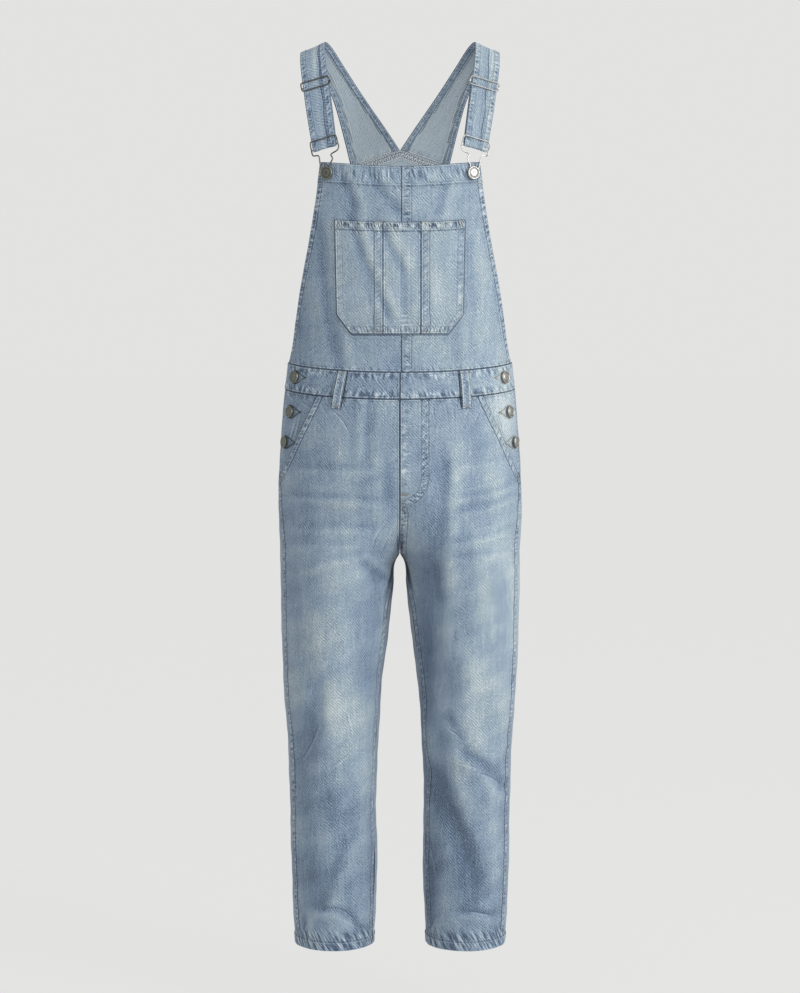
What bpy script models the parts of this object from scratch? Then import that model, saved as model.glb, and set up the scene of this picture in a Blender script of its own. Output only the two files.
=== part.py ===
"""Denim dungarees, hollow and filled out as when worn, held up at the shoulders.

The origin is midway between the tops of the two straps. +Z is up, the front faces -Y and the
wearer's left is +X. All lengths are metres and all angles are degrees unless a name says so.

The trunk and the legs share one form. At each height, each half of the garment is an ellipse cut off
at the centre plane, and below the fork it is a whole one. A place on it is a side (1 for the wearer's
left, -1 for the right), a turn about the ellipse (0 at the side, negative towards the front) and z.
"""

import math
from collections import namedtuple

import bmesh
import bpy
import numpy as np

# Cloth and seams
DENIM = 0.0016
BAND_DENIM = 0.0026
STRAP_DENIM = 0.0020
SEAM_GAP = 0.0003
LAYER_GAP = 0.0005
SIDE_SEAM_TURN = -8.0
LEG_SEAM_TURN = -21.0
LEG_SEAM_SETTLE = 0.120
INSEAM_TURN = -160.0
INSEAM_SETTLE = 0.080

# Heights
HEM_Z = -1.3505
HEM_HEIGHT = 0.0135
HEM_RAISE = 0.0012
FORK_Z = -0.7580
FORK_TOP_Z = -0.600
FORK_ROUND = 0.0120
BAND_TOP_Z = -0.4715
BAND_HEIGHT = 0.0390
BAND_RAISE = 0.0008
FRONT_DIP = 0.0125
BIB_TOP_Z = -0.1798
BIB_SAG = 0.0070
BIB_HEM_HEIGHT = 0.0290
BIB_HEM_RAISE = 0.0007
PEAK_Z = -0.1520
PEAK_SLOPE = 0.353
BACK_TOP_HALF = 0.0745

# The garment's form: a row for each height, from the hem up. inner is the inside of the leg.
Form = namedtuple("Form", "z half_width inner front back")
FORM = [
    Form(-1.3510, 0.1590, 0.0396, 0.0640, 0.0680),
    Form(-1.3000, 0.1622, 0.0372, 0.0665, 0.0705),
    Form(-1.2270, 0.1650, 0.0349, 0.0705, 0.0750),
    Form(-1.1350, 0.1667, 0.0362, 0.0745, 0.0790),
    Form(-1.0425, 0.1694, 0.0325, 0.0800, 0.0810),
    Form(-0.9500, 0.1758, 0.0264, 0.0880, 0.0930),
    Form(-0.8600, 0.1785, 0.0151, 0.0960, 0.1060),
    Form(-0.8000, 0.1797, 0.0092, 0.1005, 0.1150),
    Form(-0.7700, 0.1798, 0.0070, 0.1025, 0.1195),
    Form(-0.7580, 0.1799, 0.0000, 0.1032, 0.1215),
    Form(-0.7000, 0.1822, 0.0000, 0.1060, 0.1290),
    Form(-0.6300, 0.1806, 0.0000, 0.1070, 0.1270),
    Form(-0.5700, 0.1766, 0.0000, 0.1040, 0.1170),
    Form(-0.5200, 0.1727, 0.0000, 0.0985, 0.1070),
    Form(-0.4760, 0.1668, 0.0000, 0.0940, 0.0985),
    Form(-0.4000, 0.1668, 0.0000, 0.0985, 0.0960),
    Form(-0.3000, 0.1680, 0.0000, 0.1060, 0.0985),
    Form(-0.2300, 0.1690, 0.0000, 0.1085, 0.1005),
    Form(-0.1500, 0.1700, 0.0000, 0.1040, 0.0965),
]

WAIST_ROW = 14

# Largest folds: a trough along a line seen from the front, or a ridge where the depth is negative.
Fold = namedtuple("Fold", "face x0 z0 x1 z1 width depth")
FRONT, BACK = -1, 1
FOLDS = [
    Fold(FRONT, -0.124, -0.955, -0.148, -1.070, 0.020, 0.0035),
    Fold(FRONT, -0.088, -1.195, -0.122, -1.285, 0.020, 0.0030),
    Fold(FRONT, -0.092, -0.960, -0.090, -1.020, 0.034, -0.0035),
    Fold(FRONT, 0.060, -1.110, 0.110, -1.240, 0.018, 0.0045),
    Fold(FRONT, 0.066, -1.085, 0.140, -1.075, 0.020, 0.0030),
    Fold(FRONT, 0.095, -0.975, 0.100, -1.040, 0.032, -0.0030),
    Fold(FRONT, 0.030, -0.800, 0.050, -0.940, 0.024, 0.0035),
    Fold(FRONT, -0.028, -0.800, -0.046, -0.920, 0.022, 0.0030),
    Fold(FRONT, -0.060, -0.700, -0.165, -0.672, 0.020, 0.0020),
    Fold(FRONT, 0.060, -0.700, 0.165, -0.676, 0.020, 0.0020),
    Fold(BACK, -0.075, -0.792, -0.155, -0.776, 0.024, 0.0035),
    Fold(BACK, 0.075, -0.797, 0.155, -0.778, 0.024, 0.0035),
    Fold(BACK, -0.060, -1.010, -0.145, -1.030, 0.022, 0.0040),
    Fold(BACK, 0.060, -1.020, 0.145, -1.000, 0.022, 0.0040),
    Fold(BACK, -0.065, -1.080, -0.140, -1.115, 0.022, 0.0030),
    Fold(BACK, 0.060, -1.090, 0.140, -1.065, 0.022, 0.0030),
]

# Bib and back panel edges, and the slanted mouth of the hip pocket
Edge = namedtuple("Edge", "z half_width")
BIB_EDGE = [
    Edge(-0.4715, 0.1655), Edge(-0.4530, 0.1609), Edge(-0.4090, 0.1545), Edge(-0.3650, 0.1476),
    Edge(-0.3210, 0.1391), Edge(-0.2770, 0.1306), Edge(-0.2340, 0.1232), Edge(-0.1780, 0.1157),
]
BACK_EDGE = [
    Edge(-0.4715, 0.1655), Edge(-0.4400, 0.1520), Edge(-0.3900, 0.1270), Edge(-0.3300, 0.1010),
    Edge(-0.2700, 0.0840), Edge(-0.2200, 0.0765), Edge(-0.1780, BACK_TOP_HALF),
]
SLANT_TOP = Edge(-0.5180, 0.1245)
SLANT_FOOT = Edge(-0.6440, 0.1786)
POCKET_UNDERLAP = 0.016
HIP_PIECE_GAP = 0.0009
HIP_PIECE_TAIL = 0.007
# As turns in radians: the hip piece's least width in front of the side seam, and the length of its slope
HIP_PIECE_LEAST = 0.055
HIP_PIECE_SLOPE = 0.035

# Chest pocket: a row for each height of its outline, and the two felled seams
POCKET_EDGE = [Edge(-0.4285, 0.0700), Edge(-0.4000, 0.0916), Edge(-0.2630, 0.0938)]
POCKET_SAG = 0.0040
POCKET_SEAMS = (-0.0245, 0.0300)

# Straps: the neck edge and the arm edge, from the back panel over the shoulder to the buckle
Station = namedtuple("Station", "neck_x neck_y neck_z arm_x arm_y arm_z bulge")
STRAP = [
    Station(0.0004, 0.0958, -0.1518, 0.0745, 0.0865, -0.1781, 0.0026),
    Station(0.0220, 0.0900, -0.1200, 0.0828, 0.0820, -0.1440, 0.0022),
    Station(0.0432, 0.0785, -0.0905, 0.0910, 0.0750, -0.1120, 0.0016),
    Station(0.0642, 0.0615, -0.0605, 0.1002, 0.0630, -0.0815, 0.0010),
    Station(0.0840, 0.0415, -0.0310, 0.1135, 0.0455, -0.0520, 0.0004),
    Station(0.0998, 0.0205, -0.0075, 0.1310, 0.0235, -0.0265, 0.0),
    Station(0.1092, 0.0000, 0.0000, 0.1450, 0.0000, -0.0155, 0.0),
    Station(0.1105, -0.0210, -0.0095, 0.1466, -0.0200, -0.0240, 0.0),
    Station(0.1085, -0.0380, -0.0330, 0.1450, -0.0365, -0.0450, 0.0),
    Station(0.1045, -0.0520, -0.0650, 0.1408, -0.0500, -0.0755, 0.0),
    Station(0.1000, -0.0660, -0.0980, 0.1360, -0.0625, -0.1080, 0.0),
    Station(0.0955, -0.0800, -0.1330, 0.1300, -0.0750, -0.1430, 0.0),
    Station(0.0930, -0.0870, -0.1530, 0.1262, -0.0815, -0.1625, 0.0),
]
STRAP_RETURN_SHIFT = 0.0010

# Metal
WIRE = 0.0010
BAR = 0.0009
SLIDER_STATION = 8.85
SLIDER_HALF_WIDTH = 0.0210
SLIDER_HALF_HEIGHT = 0.0066
BUCKLE_STATION = 11.35
BUCKLE_HALF_WIDTH = 0.0198
BUCKLE_TOP_ROUND = 0.0030
BUCKLE_BELOW_FOLD = 0.0052
# Lower half of the buckle, from its arm shoulder round the button's shank, in the button's own frame
Bend = namedtuple("Bend", "arm up out")
BUCKLE_FOOT = [
    Bend(0.0212, 0.0247, 0.0048), Bend(0.0133, 0.0243, 0.0040), Bend(0.0112, 0.0124, 0.0026),
    Bend(0.0062, 0.0, 0.0016), Bend(0.0044, -0.0045, 0.0016), Bend(0.0, -0.0062, 0.0016),
    Bend(-0.0044, -0.0045, 0.0016), Bend(-0.0060, 0.0, 0.0016), Bend(-0.0042, 0.0111, 0.0026),
    Bend(-0.0083, 0.0204, 0.0020), Bend(-0.0052, 0.0269, 0.0008), Bend(-0.0135, 0.0330, -0.0020),
]
BIB_BUTTON = 0.0198
BIB_BUTTON_X = 0.1043
BIB_BUTTON_Z = -0.1960
BIB_BUTTON_STANDOFF = 0.0034
BUTTON_THICK = 0.0032
SIDE_BUTTON_STANDOFF = 0.0016
SIDE_BUTTON = 0.0178
# Height, distance from the centre and how far the cloth under each button stands off the form
Spot = namedtuple("Spot", "z half_width lift")
SIDE_BUTTONS = [
    Spot(-0.4930, 0.1532, BAND_RAISE), Spot(-0.5440, 0.1622, -0.0009), Spot(-0.5893, 0.1704, -0.0003),
]

# Belt loops: x at the top and at the foot on the front, the same at the back
LOOP_WIDTH = 0.0122
LOOP_THICK = 0.0018
LOOP_RISE = 0.0020
Loop = namedtuple("Loop", "name face top_x foot_x")
LOOPS = [
    Loop("belt_loop_front_right", FRONT, -0.0834, -0.0934),
    Loop("belt_loop_front_left", FRONT, 0.0927, 0.0967),
    Loop("belt_loop_back_right", BACK, -0.0900, -0.0930),
    Loop("belt_loop_back_centre", BACK, 0.0, 0.0),
    Loop("belt_loop_back_left", BACK, 0.0900, 0.0930),
]
LOOP_TOP_OVER = 0.0010
LOOP_FOOT_BELOW = 0.0162

COLOURS = {
    "denim": (0.36, 0.47, 0.58),
    "pewter": (0.24, 0.23, 0.18),
    "steel": (0.62, 0.62, 0.62),
}


def smooth(at, rows, column):
    """Cubic curve through one column of a table, read at the heights `at`."""
    table = sorted(rows)
    knots = np.array([row.z for row in table])
    values = np.array([getattr(row, column) for row in table])
    slopes = np.gradient(values, knots)
    k = np.clip(np.searchsorted(knots, at) - 1, 0, len(knots) - 2)
    span = knots[k + 1] - knots[k]
    t = np.clip((at - knots[k]) / span, 0.0, 1.0)
    rise = values[k + 1] * (3 * t**2 - 2 * t**3) + values[k] * (2 * t**3 - 3 * t**2 + 1)
    return rise + span * (slopes[k] * (t**3 - 2 * t**2 + t) + slopes[k + 1] * (t**3 - t**2))


def ease(t):
    """0 to 1 with level ends."""
    t = np.clip(t, 0.0, 1.0)
    return t * t * (3.0 - 2.0 * t)


def section(z):
    """Centre, half width, front depth and back depth of half the garment at each height."""
    half_width = smooth(z, FORM, "half_width")
    fork = np.clip((FORK_TOP_Z - z) / (FORK_TOP_Z - FORK_Z), 0.0, 1.0) ** 1.5
    inner = np.where(z > FORK_Z, -half_width * (1 - fork) / (1 + fork), smooth(z, FORM, "inner"))
    centre, radius = (half_width + inner) / 2, (half_width - inner) / 2
    return centre, radius, smooth(z, FORM, "front"), smooth(z, FORM, "back")


def centre_turn(z):
    """Turn, in radians, at which the form meets the centre plane, half a seam gap off it."""
    centre, radius, _, _ = section(z)
    return np.arccos(np.clip((SEAM_GAP / 2 - centre) / radius, -1.0, 1.0))


def turn_at(x, z):
    """Turn, in radians and without its sign, of the trunk's form at a distance x from the centre."""
    centre, radius, _, _ = section(z)
    return np.arccos(np.clip((np.abs(x) - centre) / radius, -1.0, 1.0))


def fold_lift(x, z, turn):
    """Height of the folds: each is a soft trough about a line in the front or back view."""
    lift = np.zeros(np.broadcast(x, z).shape)
    for fold in FOLDS:
        along = np.array([fold.x1 - fold.x0, fold.z1 - fold.z0])
        t = ((x - fold.x0) * along[0] + (z - fold.z0) * along[1]) / (along @ along)
        near = np.clip(t, 0.0, 1.0)
        gap = np.hypot(x - fold.x0 - near * along[0], z - fold.z0 - near * along[1])
        facing = np.clip(fold.face * np.sin(turn), 0.0, 1.0)
        lift = lift - fold.depth * np.exp(-((gap / fold.width) ** 2)) * ease(facing * 1.5)
    return lift


def cloth(side, turn, z, lift=0.0):
    """Points of the garment's outer face, moved out by `lift`. Turns are in radians."""
    centre, radius, front, back = section(z)
    depth = np.where(np.sin(turn) < 0, front, back)
    x, y = centre + radius * np.cos(turn), depth * np.sin(turn)
    out_x, out_y = np.cos(turn) / radius, np.sin(turn) / depth
    size = np.hypot(out_x, out_y)
    lift = lift + fold_lift(side * x, z, turn)
    x = np.maximum(x + lift * out_x / size, SEAM_GAP / 2)
    return np.stack([side * x, y + lift * out_y / size, z + 0.0 * x], -1)


def band_z(turn, below_top):
    """Height of a line at a given distance under the waistband's top edge, which dips in front."""
    return BAND_TOP_Z - below_top - FRONT_DIP * np.clip(-np.sin(turn), 0.0, 1.0) ** 1.3


def material(kind):
    """One Principled material for each kind of surface."""
    if kind in bpy.data.materials:
        return bpy.data.materials[kind]
    made = bpy.data.materials.new(kind)
    made.use_nodes = True
    surface = made.node_tree.nodes["Principled BSDF"]
    metal = kind in ("pewter", "steel")
    surface.inputs["Base Color"].default_value = (*COLOURS[kind], 1.0)
    surface.inputs["Roughness"].default_value = 0.35 if metal else 0.9
    surface.inputs["Metallic"].default_value = 1.0 if metal else 0.0
    return made


def add_object(name, shape, kind):
    """Turn a bmesh into a named object with its faces pointing out."""
    bmesh.ops.recalc_face_normals(shape, faces=shape.faces)
    mesh = bpy.data.meshes.new(name)
    shape.to_mesh(mesh)
    shape.free()
    made = bpy.data.objects.new(name, mesh)
    bpy.context.scene.collection.objects.link(made)
    mesh.materials.append(material(kind))
    mesh.shade_smooth()
    mesh.set_sharp_from_angle(angle=math.radians(35))
    return made


def wall(name, outer, inner):
    """Closed denim body between two grids of points, a row for each height or station."""
    shape = bmesh.new()
    rows, columns = outer.shape[:2]
    faces = [[[shape.verts.new(p) for p in row] for row in grid] for grid in (outer, inner)]
    for grid in faces:
        for r in range(rows - 1):
            for c in range(columns - 1):
                shape.faces.new((grid[r][c], grid[r][c + 1], grid[r + 1][c + 1], grid[r + 1][c]))
    top, under = faces
    for r in range(rows - 1):
        for c in (0, columns - 1):
            shape.faces.new((top[r][c], top[r + 1][c], under[r + 1][c], under[r][c]))
    for c in range(columns - 1):
        for r in (0, rows - 1):
            shape.faces.new((top[r][c], top[r][c + 1], under[r][c + 1], under[r][c]))
    return add_object(name, shape, "denim")


def panel(name, side, turn, z, raise_by=0.0):
    """Wall on the garment's form, from a grid of turns and heights; only its outer face is raised."""
    return wall(name, cloth(side, turn, z, raise_by), cloth(side, turn, z, -DENIM))


def hip_heights():
    """Rows from under the waistband to the foot of the hip pocket."""
    return np.linspace(BAND_TOP_Z - BAND_HEIGHT - SEAM_GAP, SLANT_FOOT.z, 10)


def leg_heights():
    """Rows of a leg panel: close over the hip, wider down the leg, and a step at the hem."""
    seat = np.linspace(SLANT_FOOT.z, FORK_Z, 6)[1:]
    leg = np.linspace(FORK_Z - FORK_ROUND, HEM_Z + HEM_HEIGHT + 0.001, 14)
    return np.concatenate([hip_heights(), seat, leg, [HEM_Z + HEM_HEIGHT, HEM_Z]])


def side_gap(z):
    """Half a seam gap as a turn at the side seam, in radians."""
    return SEAM_GAP / 2 / smooth(z, FORM, "front")


def side_turn(z):
    """Turn of the side seam, in radians: at the side over the hip, and further forward down the leg."""
    settled = ease((SLANT_FOOT.z - z) / LEG_SEAM_SETTLE)
    return np.radians(SIDE_SEAM_TURN + settled * (LEG_SEAM_TURN - SIDE_SEAM_TURN))


def slant_turn(z):
    """Turn of the hip pocket's slanted edge, in radians, and of the side seam below its foot."""
    t = (z - SLANT_TOP.z) / (SLANT_FOOT.z - SLANT_TOP.z)
    x = SLANT_TOP.half_width + t * (SLANT_FOOT.half_width - SLANT_TOP.half_width)
    seam = side_turn(z)
    return np.where(t >= 1.0, seam, np.minimum(-turn_at(x, z), seam))


def inner_turn(z):
    """Turn of the centre seam above the fork and of the inseam below it, in radians."""
    settled = ease((FORK_Z - z) / INSEAM_SETTLE)
    inseam = math.pi - settled * math.radians(180 + INSEAM_TURN)
    return np.where(z > FORK_Z, centre_turn(z), inseam)


def leg_panels():
    """Front and back leg of each side, from under the waistband to the hem."""
    columns = np.linspace(0.0, 1.0, 12)
    heights = leg_heights()[:, None]
    slack = ease((heights - FORK_TOP_Z) / (BAND_TOP_Z - BAND_HEIGHT - FORK_TOP_Z))
    raised = np.where(heights < HEM_Z + HEM_HEIGHT + 0.0005, HEM_RAISE, 0.0)
    for side, hand in ((1, "left"), (-1, "right")):
        start = slant_turn(heights) - side_gap(heights)
        end = -inner_turn(heights)
        below = heights < FORK_Z
        end = end + np.where(below, side_gap(heights), 0.0)
        turn = start + columns * (end - start)
        z = heights + slack * (band_z(turn, 0.0) - BAND_TOP_Z)
        panel(f"front_leg_{hand}", side, turn, z, raised)

        start = side_turn(heights) + side_gap(heights)
        end = np.where(below, 2 * math.pi - inner_turn(heights) - side_gap(heights), inner_turn(heights))
        turn = start + columns * (end - start)
        z = heights + slack * (band_z(turn, 0.0) - BAND_TOP_Z)
        panel(f"back_leg_{hand}", side, turn, z, raised)


def hip_pieces():
    """Pocket back and button flap: level with the cloth at the side, under the slanted edge in front."""
    heights = np.append(hip_heights(), SLANT_FOOT.z - HIP_PIECE_TAIL)[:, None]
    slack = ease((heights - FORK_TOP_Z) / (BAND_TOP_Z - BAND_HEIGHT - FORK_TOP_Z))
    columns = np.array([0.0, 0.25, 0.5, 0.75, 1.0])
    last = hip_heights()[-2:]
    tail = ease((last[0] - heights) / (2 * (last[0] - last[1])) + 1.0)
    level = np.ones_like(heights)
    for side, hand in ((1, "left"), (-1, "right")):
        seam = math.radians(SIDE_SEAM_TURN) - side_gap(heights)
        under = np.minimum(slant_turn(heights), seam - HIP_PIECE_LEAST)
        sunk_from = under + HIP_PIECE_SLOPE
        reach = POCKET_UNDERLAP / smooth(heights, FORM, "half_width")
        turn = np.hstack([seam + columns * (sunk_from - seam), under - reach / 2, under - reach])
        drop = np.hstack([np.maximum(ease(columns * level), tail), level, level])
        drop = -(DENIM + HIP_PIECE_GAP) * drop
        z = heights + slack * (band_z(turn, 0.0) - BAND_TOP_Z)
        outer = cloth(side, turn, z, drop)
        wall(f"hip_piece_{hand}", outer, cloth(side, turn, z, drop - DENIM))


def waistband():
    """Two front halves, joined at the centre, and one back piece between the side seams."""
    down = np.array([SEAM_GAP / 2, BAND_HEIGHT / 2, BAND_HEIGHT - SEAM_GAP / 2])[:, None]
    seam = math.radians(SIDE_SEAM_TURN)
    gap = SEAM_GAP / 2 / FORM[WAIST_ROW].front
    for side, hand in ((1, "left"), (-1, "right")):
        middle = SEAM_GAP / 2 / FORM[WAIST_ROW].half_width - math.pi / 2
        turn = np.linspace(seam - gap, middle, 13) + 0.0 * down
        z = band_z(turn, down)
        name = f"waistband_front_{hand}"
        wall(name, cloth(side, turn, z, BAND_RAISE), cloth(side, turn, z, BAND_RAISE - BAND_DENIM))
    half = np.linspace(seam + gap, math.pi / 2, 13) + 0.0 * down
    z = band_z(half, down)
    around = []
    for lift in (BAND_RAISE, BAND_RAISE - BAND_DENIM):
        left = cloth(1, half, z, lift)
        left[:, -1, 0] = 0.0
        right = left[:, -2::-1] * np.array([-1.0, 1.0, 1.0])
        around.append(np.concatenate([left, right], 1))
    wall("waistband_back", *around)


def bib():
    """Two halves with a deep hem along the top, which sags a little between the buttons."""
    columns = np.linspace(0.0, 1.0, 10)
    hem = BIB_HEM_HEIGHT / (BIB_TOP_Z - BAND_TOP_Z)
    rows = np.concatenate([[0.0, hem, hem + 0.003], np.linspace(hem + 0.003, 1.0, 13)[1:]])[:, None]
    level = BIB_TOP_Z + rows * (BAND_TOP_Z - BIB_TOP_Z)
    edge = smooth(level, BIB_EDGE, "half_width")
    for side, hand in ((1, "left"), (-1, "right")):
        x = SEAM_GAP / 2 + columns * (edge - SEAM_GAP / 2)
        across = x / edge
        top = BIB_TOP_Z - BIB_SAG * (1 - across**2) ** 1.5
        foot = band_z(-turn_at(x, BAND_TOP_Z), -SEAM_GAP / 2)
        z = top + rows * (foot - top)
        raised = np.where(rows < hem + 0.001, BIB_HEM_RAISE, 0.0)
        panel(f"bib_{hand}", side, -turn_at(x, z), z, raised)


def pocket_grid(x0, x1):
    """Grid of x and z over one piece of the chest pocket, between two vertical seams."""
    levels = [row.z for row in POCKET_EDGE]
    heights = np.concatenate([
        np.linspace(levels[2], levels[1], 8),
        np.linspace(levels[1], levels[0], 4)[1:],
    ])[:, None]
    table = sorted(POCKET_EDGE)
    reach = np.interp(heights, [row.z for row in table], [row.half_width for row in table])
    left, right = np.maximum(x0, -reach), np.minimum(x1, reach)
    x = left + np.linspace(0.0, 1.0, 7) * (right - left)
    top_part = (heights - levels[0]) / (levels[2] - levels[0])
    z = heights - POCKET_SAG * (1 - (x / POCKET_EDGE[2].half_width) ** 2) * top_part
    return x, z


def on_front(x, z, lift):
    """Points on the front of the trunk at signed distances x from the centre."""
    side = np.where(x < 0, -1.0, 1.0)
    centre, radius, front, _ = section(z)
    turn = -turn_at(x, z)
    out_x, out_y = np.cos(turn) / radius, np.sin(turn) / front
    size = np.hypot(out_x, out_y)
    return np.stack([
        side * (centre + radius * np.cos(turn) + lift * out_x / size),
        front * np.sin(turn) + lift * out_y / size,
        z + 0.0 * x,
    ], -1)


def chest_pocket():
    """Patch pocket in three pieces, laid on the bib."""
    first, second = POCKET_SEAMS
    pieces = (
        ("right", -1.0, first - SEAM_GAP / 2),
        ("centre", first + SEAM_GAP / 2, second - SEAM_GAP / 2),
        ("left", second + SEAM_GAP / 2, 1.0),
    )
    for hand, x0, x1 in pieces:
        x, z = pocket_grid(x0, x1)
        lift = LAYER_GAP + DENIM
        wall(f"chest_pocket_{hand}", on_front(x, z, lift), on_front(x, z, LAYER_GAP))


def back_panel():
    """One piece with a peaked top, narrow between the arms and as wide as the waistband below."""
    rows = np.linspace(0.0, 1.0, 15)[:, None]
    across = np.linspace(-1.0, 1.0, 13)
    top = PEAK_Z - SEAM_GAP - PEAK_SLOPE * BACK_TOP_HALF
    foot = BAND_TOP_Z + SEAM_GAP / 2
    level = top + rows * (foot - top)
    edge = smooth(level, BACK_EDGE, "half_width")
    z = level + (1 - rows) ** 3 * PEAK_SLOPE * BACK_TOP_HALF * (1 - np.abs(across))
    grids = []
    for lift in (0.0, -DENIM):
        turn = turn_at(across * edge, z)
        grid = cloth(1, turn, z, lift)
        grid[..., 0] = np.where(across < 0, -grid[..., 0], grid[..., 0])
        grid[:, np.argmin(np.abs(across)), 0] = 0.0
        grids.append(grid)
    wall("back_panel", *grids)


def spline(points, at):
    """Smooth curve through evenly numbered points, read at the stations `at`."""
    points = np.asarray(points, dtype=float)
    k = np.clip(np.floor(at).astype(int), 0, len(points) - 2)
    t = (at - k)[:, None]
    before = points[np.maximum(k - 1, 0)]
    after = points[np.minimum(k + 2, len(points) - 1)]
    a, b = points[k], points[k + 1]
    slope_a, slope_b = (b - before) / 2, (after - a) / 2
    blend = a * (2 * t**3 - 3 * t**2 + 1) + b * (3 * t**2 - 2 * t**3)
    return blend + slope_a * (t**3 - 2 * t**2 + t) + slope_b * (t**3 - t**2)


def grid_normals(grid):
    """Unit normals of a grid of points, by differences along its rows and columns."""
    along = np.gradient(grid, axis=0)
    across = np.gradient(grid, axis=1)
    normal = np.cross(along, across)
    return normal / np.linalg.norm(normal, axis=-1, keepdims=True)


def strap_face(side, stations, columns):
    """Middle layer of the strap's single run, from the back panel to its fold."""
    table = np.array(STRAP)
    neck = spline(table[:, 0:3], stations)[:, None]
    arm = spline(table[:, 3:6], stations)[:, None]
    bulge = spline(table[:, 6:7], stations)[:, None]
    grid = neck + columns[:, None] * (arm - neck)
    grid = grid + np.array([0.0, 1.0, 0.0]) * bulge * (4 * columns * (1 - columns))[:, None]
    return grid * np.array([side, 1.0, 1.0])


def strap_normals(side, grid):
    """Normals that point away from the body along the strap."""
    return side * grid_normals(grid)


def strap(side, hand):
    """Strap that comes down in front, turns round the buckle's cross bar and returns to the slider."""
    columns = np.linspace(0.0, 1.0, 5)
    last = len(STRAP) - 1
    stations = np.concatenate([np.linspace(0.0, 5.0, 11), np.linspace(5.0, last, 20)[1:]])
    front = strap_face(side, stations, columns)
    normal = strap_normals(side, front)
    turn_radius = BAR + SEAM_GAP + STRAP_DENIM / 2
    down = front[-1] - front[-2]
    down = down / np.linalg.norm(down, axis=-1, keepdims=True)
    fold = [
        front[-1] - normal[-1] * turn_radius * (1 - math.cos(a)) + down * turn_radius * math.sin(a)
        for a in np.radians([30, 60, 90, 120, 150])
    ]
    slider_row = int(np.argmin(np.abs(stations - SLIDER_STATION)))
    returned = front[slider_row:] - normal[slider_row:] * 2 * turn_radius
    to_neck = front[slider_row:, :1] - front[slider_row:, -1:]
    to_neck = to_neck / np.linalg.norm(to_neck, axis=-1, keepdims=True)
    rise = np.linspace(1.0, 0.3, len(returned))[:, None, None]
    returned = returned + to_neck * STRAP_RETURN_SHIFT * rise
    grid = np.concatenate([front, np.array(fold), returned[::-1]])
    normal = strap_normals(side, grid)
    half = STRAP_DENIM / 2
    wall(f"strap_{hand}", grid + normal * half, grid - normal * half)


def strap_frame(side, station):
    """Origin on the strap's outer face and its axes: across to the arm, out and down along it."""
    near = np.array([station - 0.05, station, station + 0.05])
    grid = strap_face(side, near, np.array([0.0, 0.5, 1.0]))
    out = strap_normals(side, grid)[1, 1]
    across = grid[1, 2] - grid[1, 0]
    across = across / np.linalg.norm(across)
    down = np.cross(across, out) * side
    return grid[1, 1] + out * STRAP_DENIM / 2, across, out, down


def tube(shape, route, radius, closed, sides=8):
    """Add a round wire along a route to a bmesh, closed on itself or capped at its ends."""
    route = np.asarray(route, dtype=float)
    count = len(route)
    ahead = np.roll(route, -1, 0) - np.roll(route, 1, 0) if closed else np.gradient(route, axis=0)
    ahead = ahead / np.linalg.norm(ahead, axis=1, keepdims=True)
    side_way = np.cross(ahead[0], [0.3, 0.9, 0.2])
    rings = []
    for k in range(count):
        side_way = side_way - ahead[k] * (side_way @ ahead[k])
        side_way = side_way / np.linalg.norm(side_way)
        other = np.cross(ahead[k], side_way)
        angles = 2 * math.pi * np.arange(sides) / sides
        ring = [route[k] + radius * (math.cos(a) * side_way + math.sin(a) * other) for a in angles]
        rings.append([shape.verts.new(p) for p in ring])
    links = range(count) if closed else range(count - 1)
    for k in links:
        here, there = rings[k], rings[(k + 1) % count]
        shift = 0
        if closed and k == count - 1:
            gaps = [(here[0].co - v.co).length for v in there]
            shift = gaps.index(min(gaps))
        for s in range(sides):
            a, b = here[s], here[(s + 1) % sides]
            c, d = there[(s + 1 + shift) % sides], there[(s + shift) % sides]
            shape.faces.new((a, b, c, d))
    if not closed:
        shape.faces.new(rings[0])
        shape.faces.new(list(reversed(rings[-1])))


def joined_wire(name, loop, bar, kind):
    """Closed wire loop with a straight bar across it, joined into one body."""
    shape = bmesh.new()
    tube(shape, loop, WIRE, closed=True)
    made = add_object(name, shape, kind)
    shape = bmesh.new()
    tube(shape, bar, BAR, closed=False)
    cross = add_object(f"{name}_bar", shape, kind)
    cross.hide_render = True
    cross.display_type = "WIRE"
    union = made.modifiers.new("bar", "BOOLEAN")
    union.operation = "UNION"
    union.solver = "EXACT"
    union.object = cross
    return made


def closed_curve(points, steps):
    """Evenly numbered smooth closed curve through points."""
    points = np.asarray(points, dtype=float)
    count = len(points)
    padded = np.concatenate([points[-1:], points, points[:2]])
    at = np.arange(count * steps) / steps + 1.0
    return spline(padded, at)


def slider(side, hand):
    """Wire loop whose two bars lie in front of the strap, with a centre bar behind it."""
    origin, across, out, down = strap_frame(side, SLIDER_STATION)
    front = WIRE + SEAM_GAP
    behind = -(STRAP_DENIM + SEAM_GAP + BAR)
    w, h = SLIDER_HALF_WIDTH, SLIDER_HALF_HEIGHT
    quarter = [(0.0, front, h), (0.81 * w, front, h), (0.98 * w, 0.7 * front, 0.82 * h)]
    quarter.append((1.02 * w, 0.7 * behind, 0.3 * h))
    upper_right = [(a, b, -c) for a, b, c in quarter]
    lower_right = [(a, b, c) for a, b, c in reversed(quarter)]
    lower_left = [(-a, b, c) for a, b, c in quarter[1:]]
    upper_left = [(-a, b, -c) for a, b, c in reversed(quarter[1:])]
    route = upper_right + lower_right + lower_left + upper_left
    loop = closed_curve([origin + across * a + out * b + down * c for a, b, c in route], 2)
    ends = [origin + across * a + out * behind for a in (-1.02 * w, 1.02 * w)]
    joined_wire(f"slider_{hand}", loop, ends, "steel")


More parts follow.
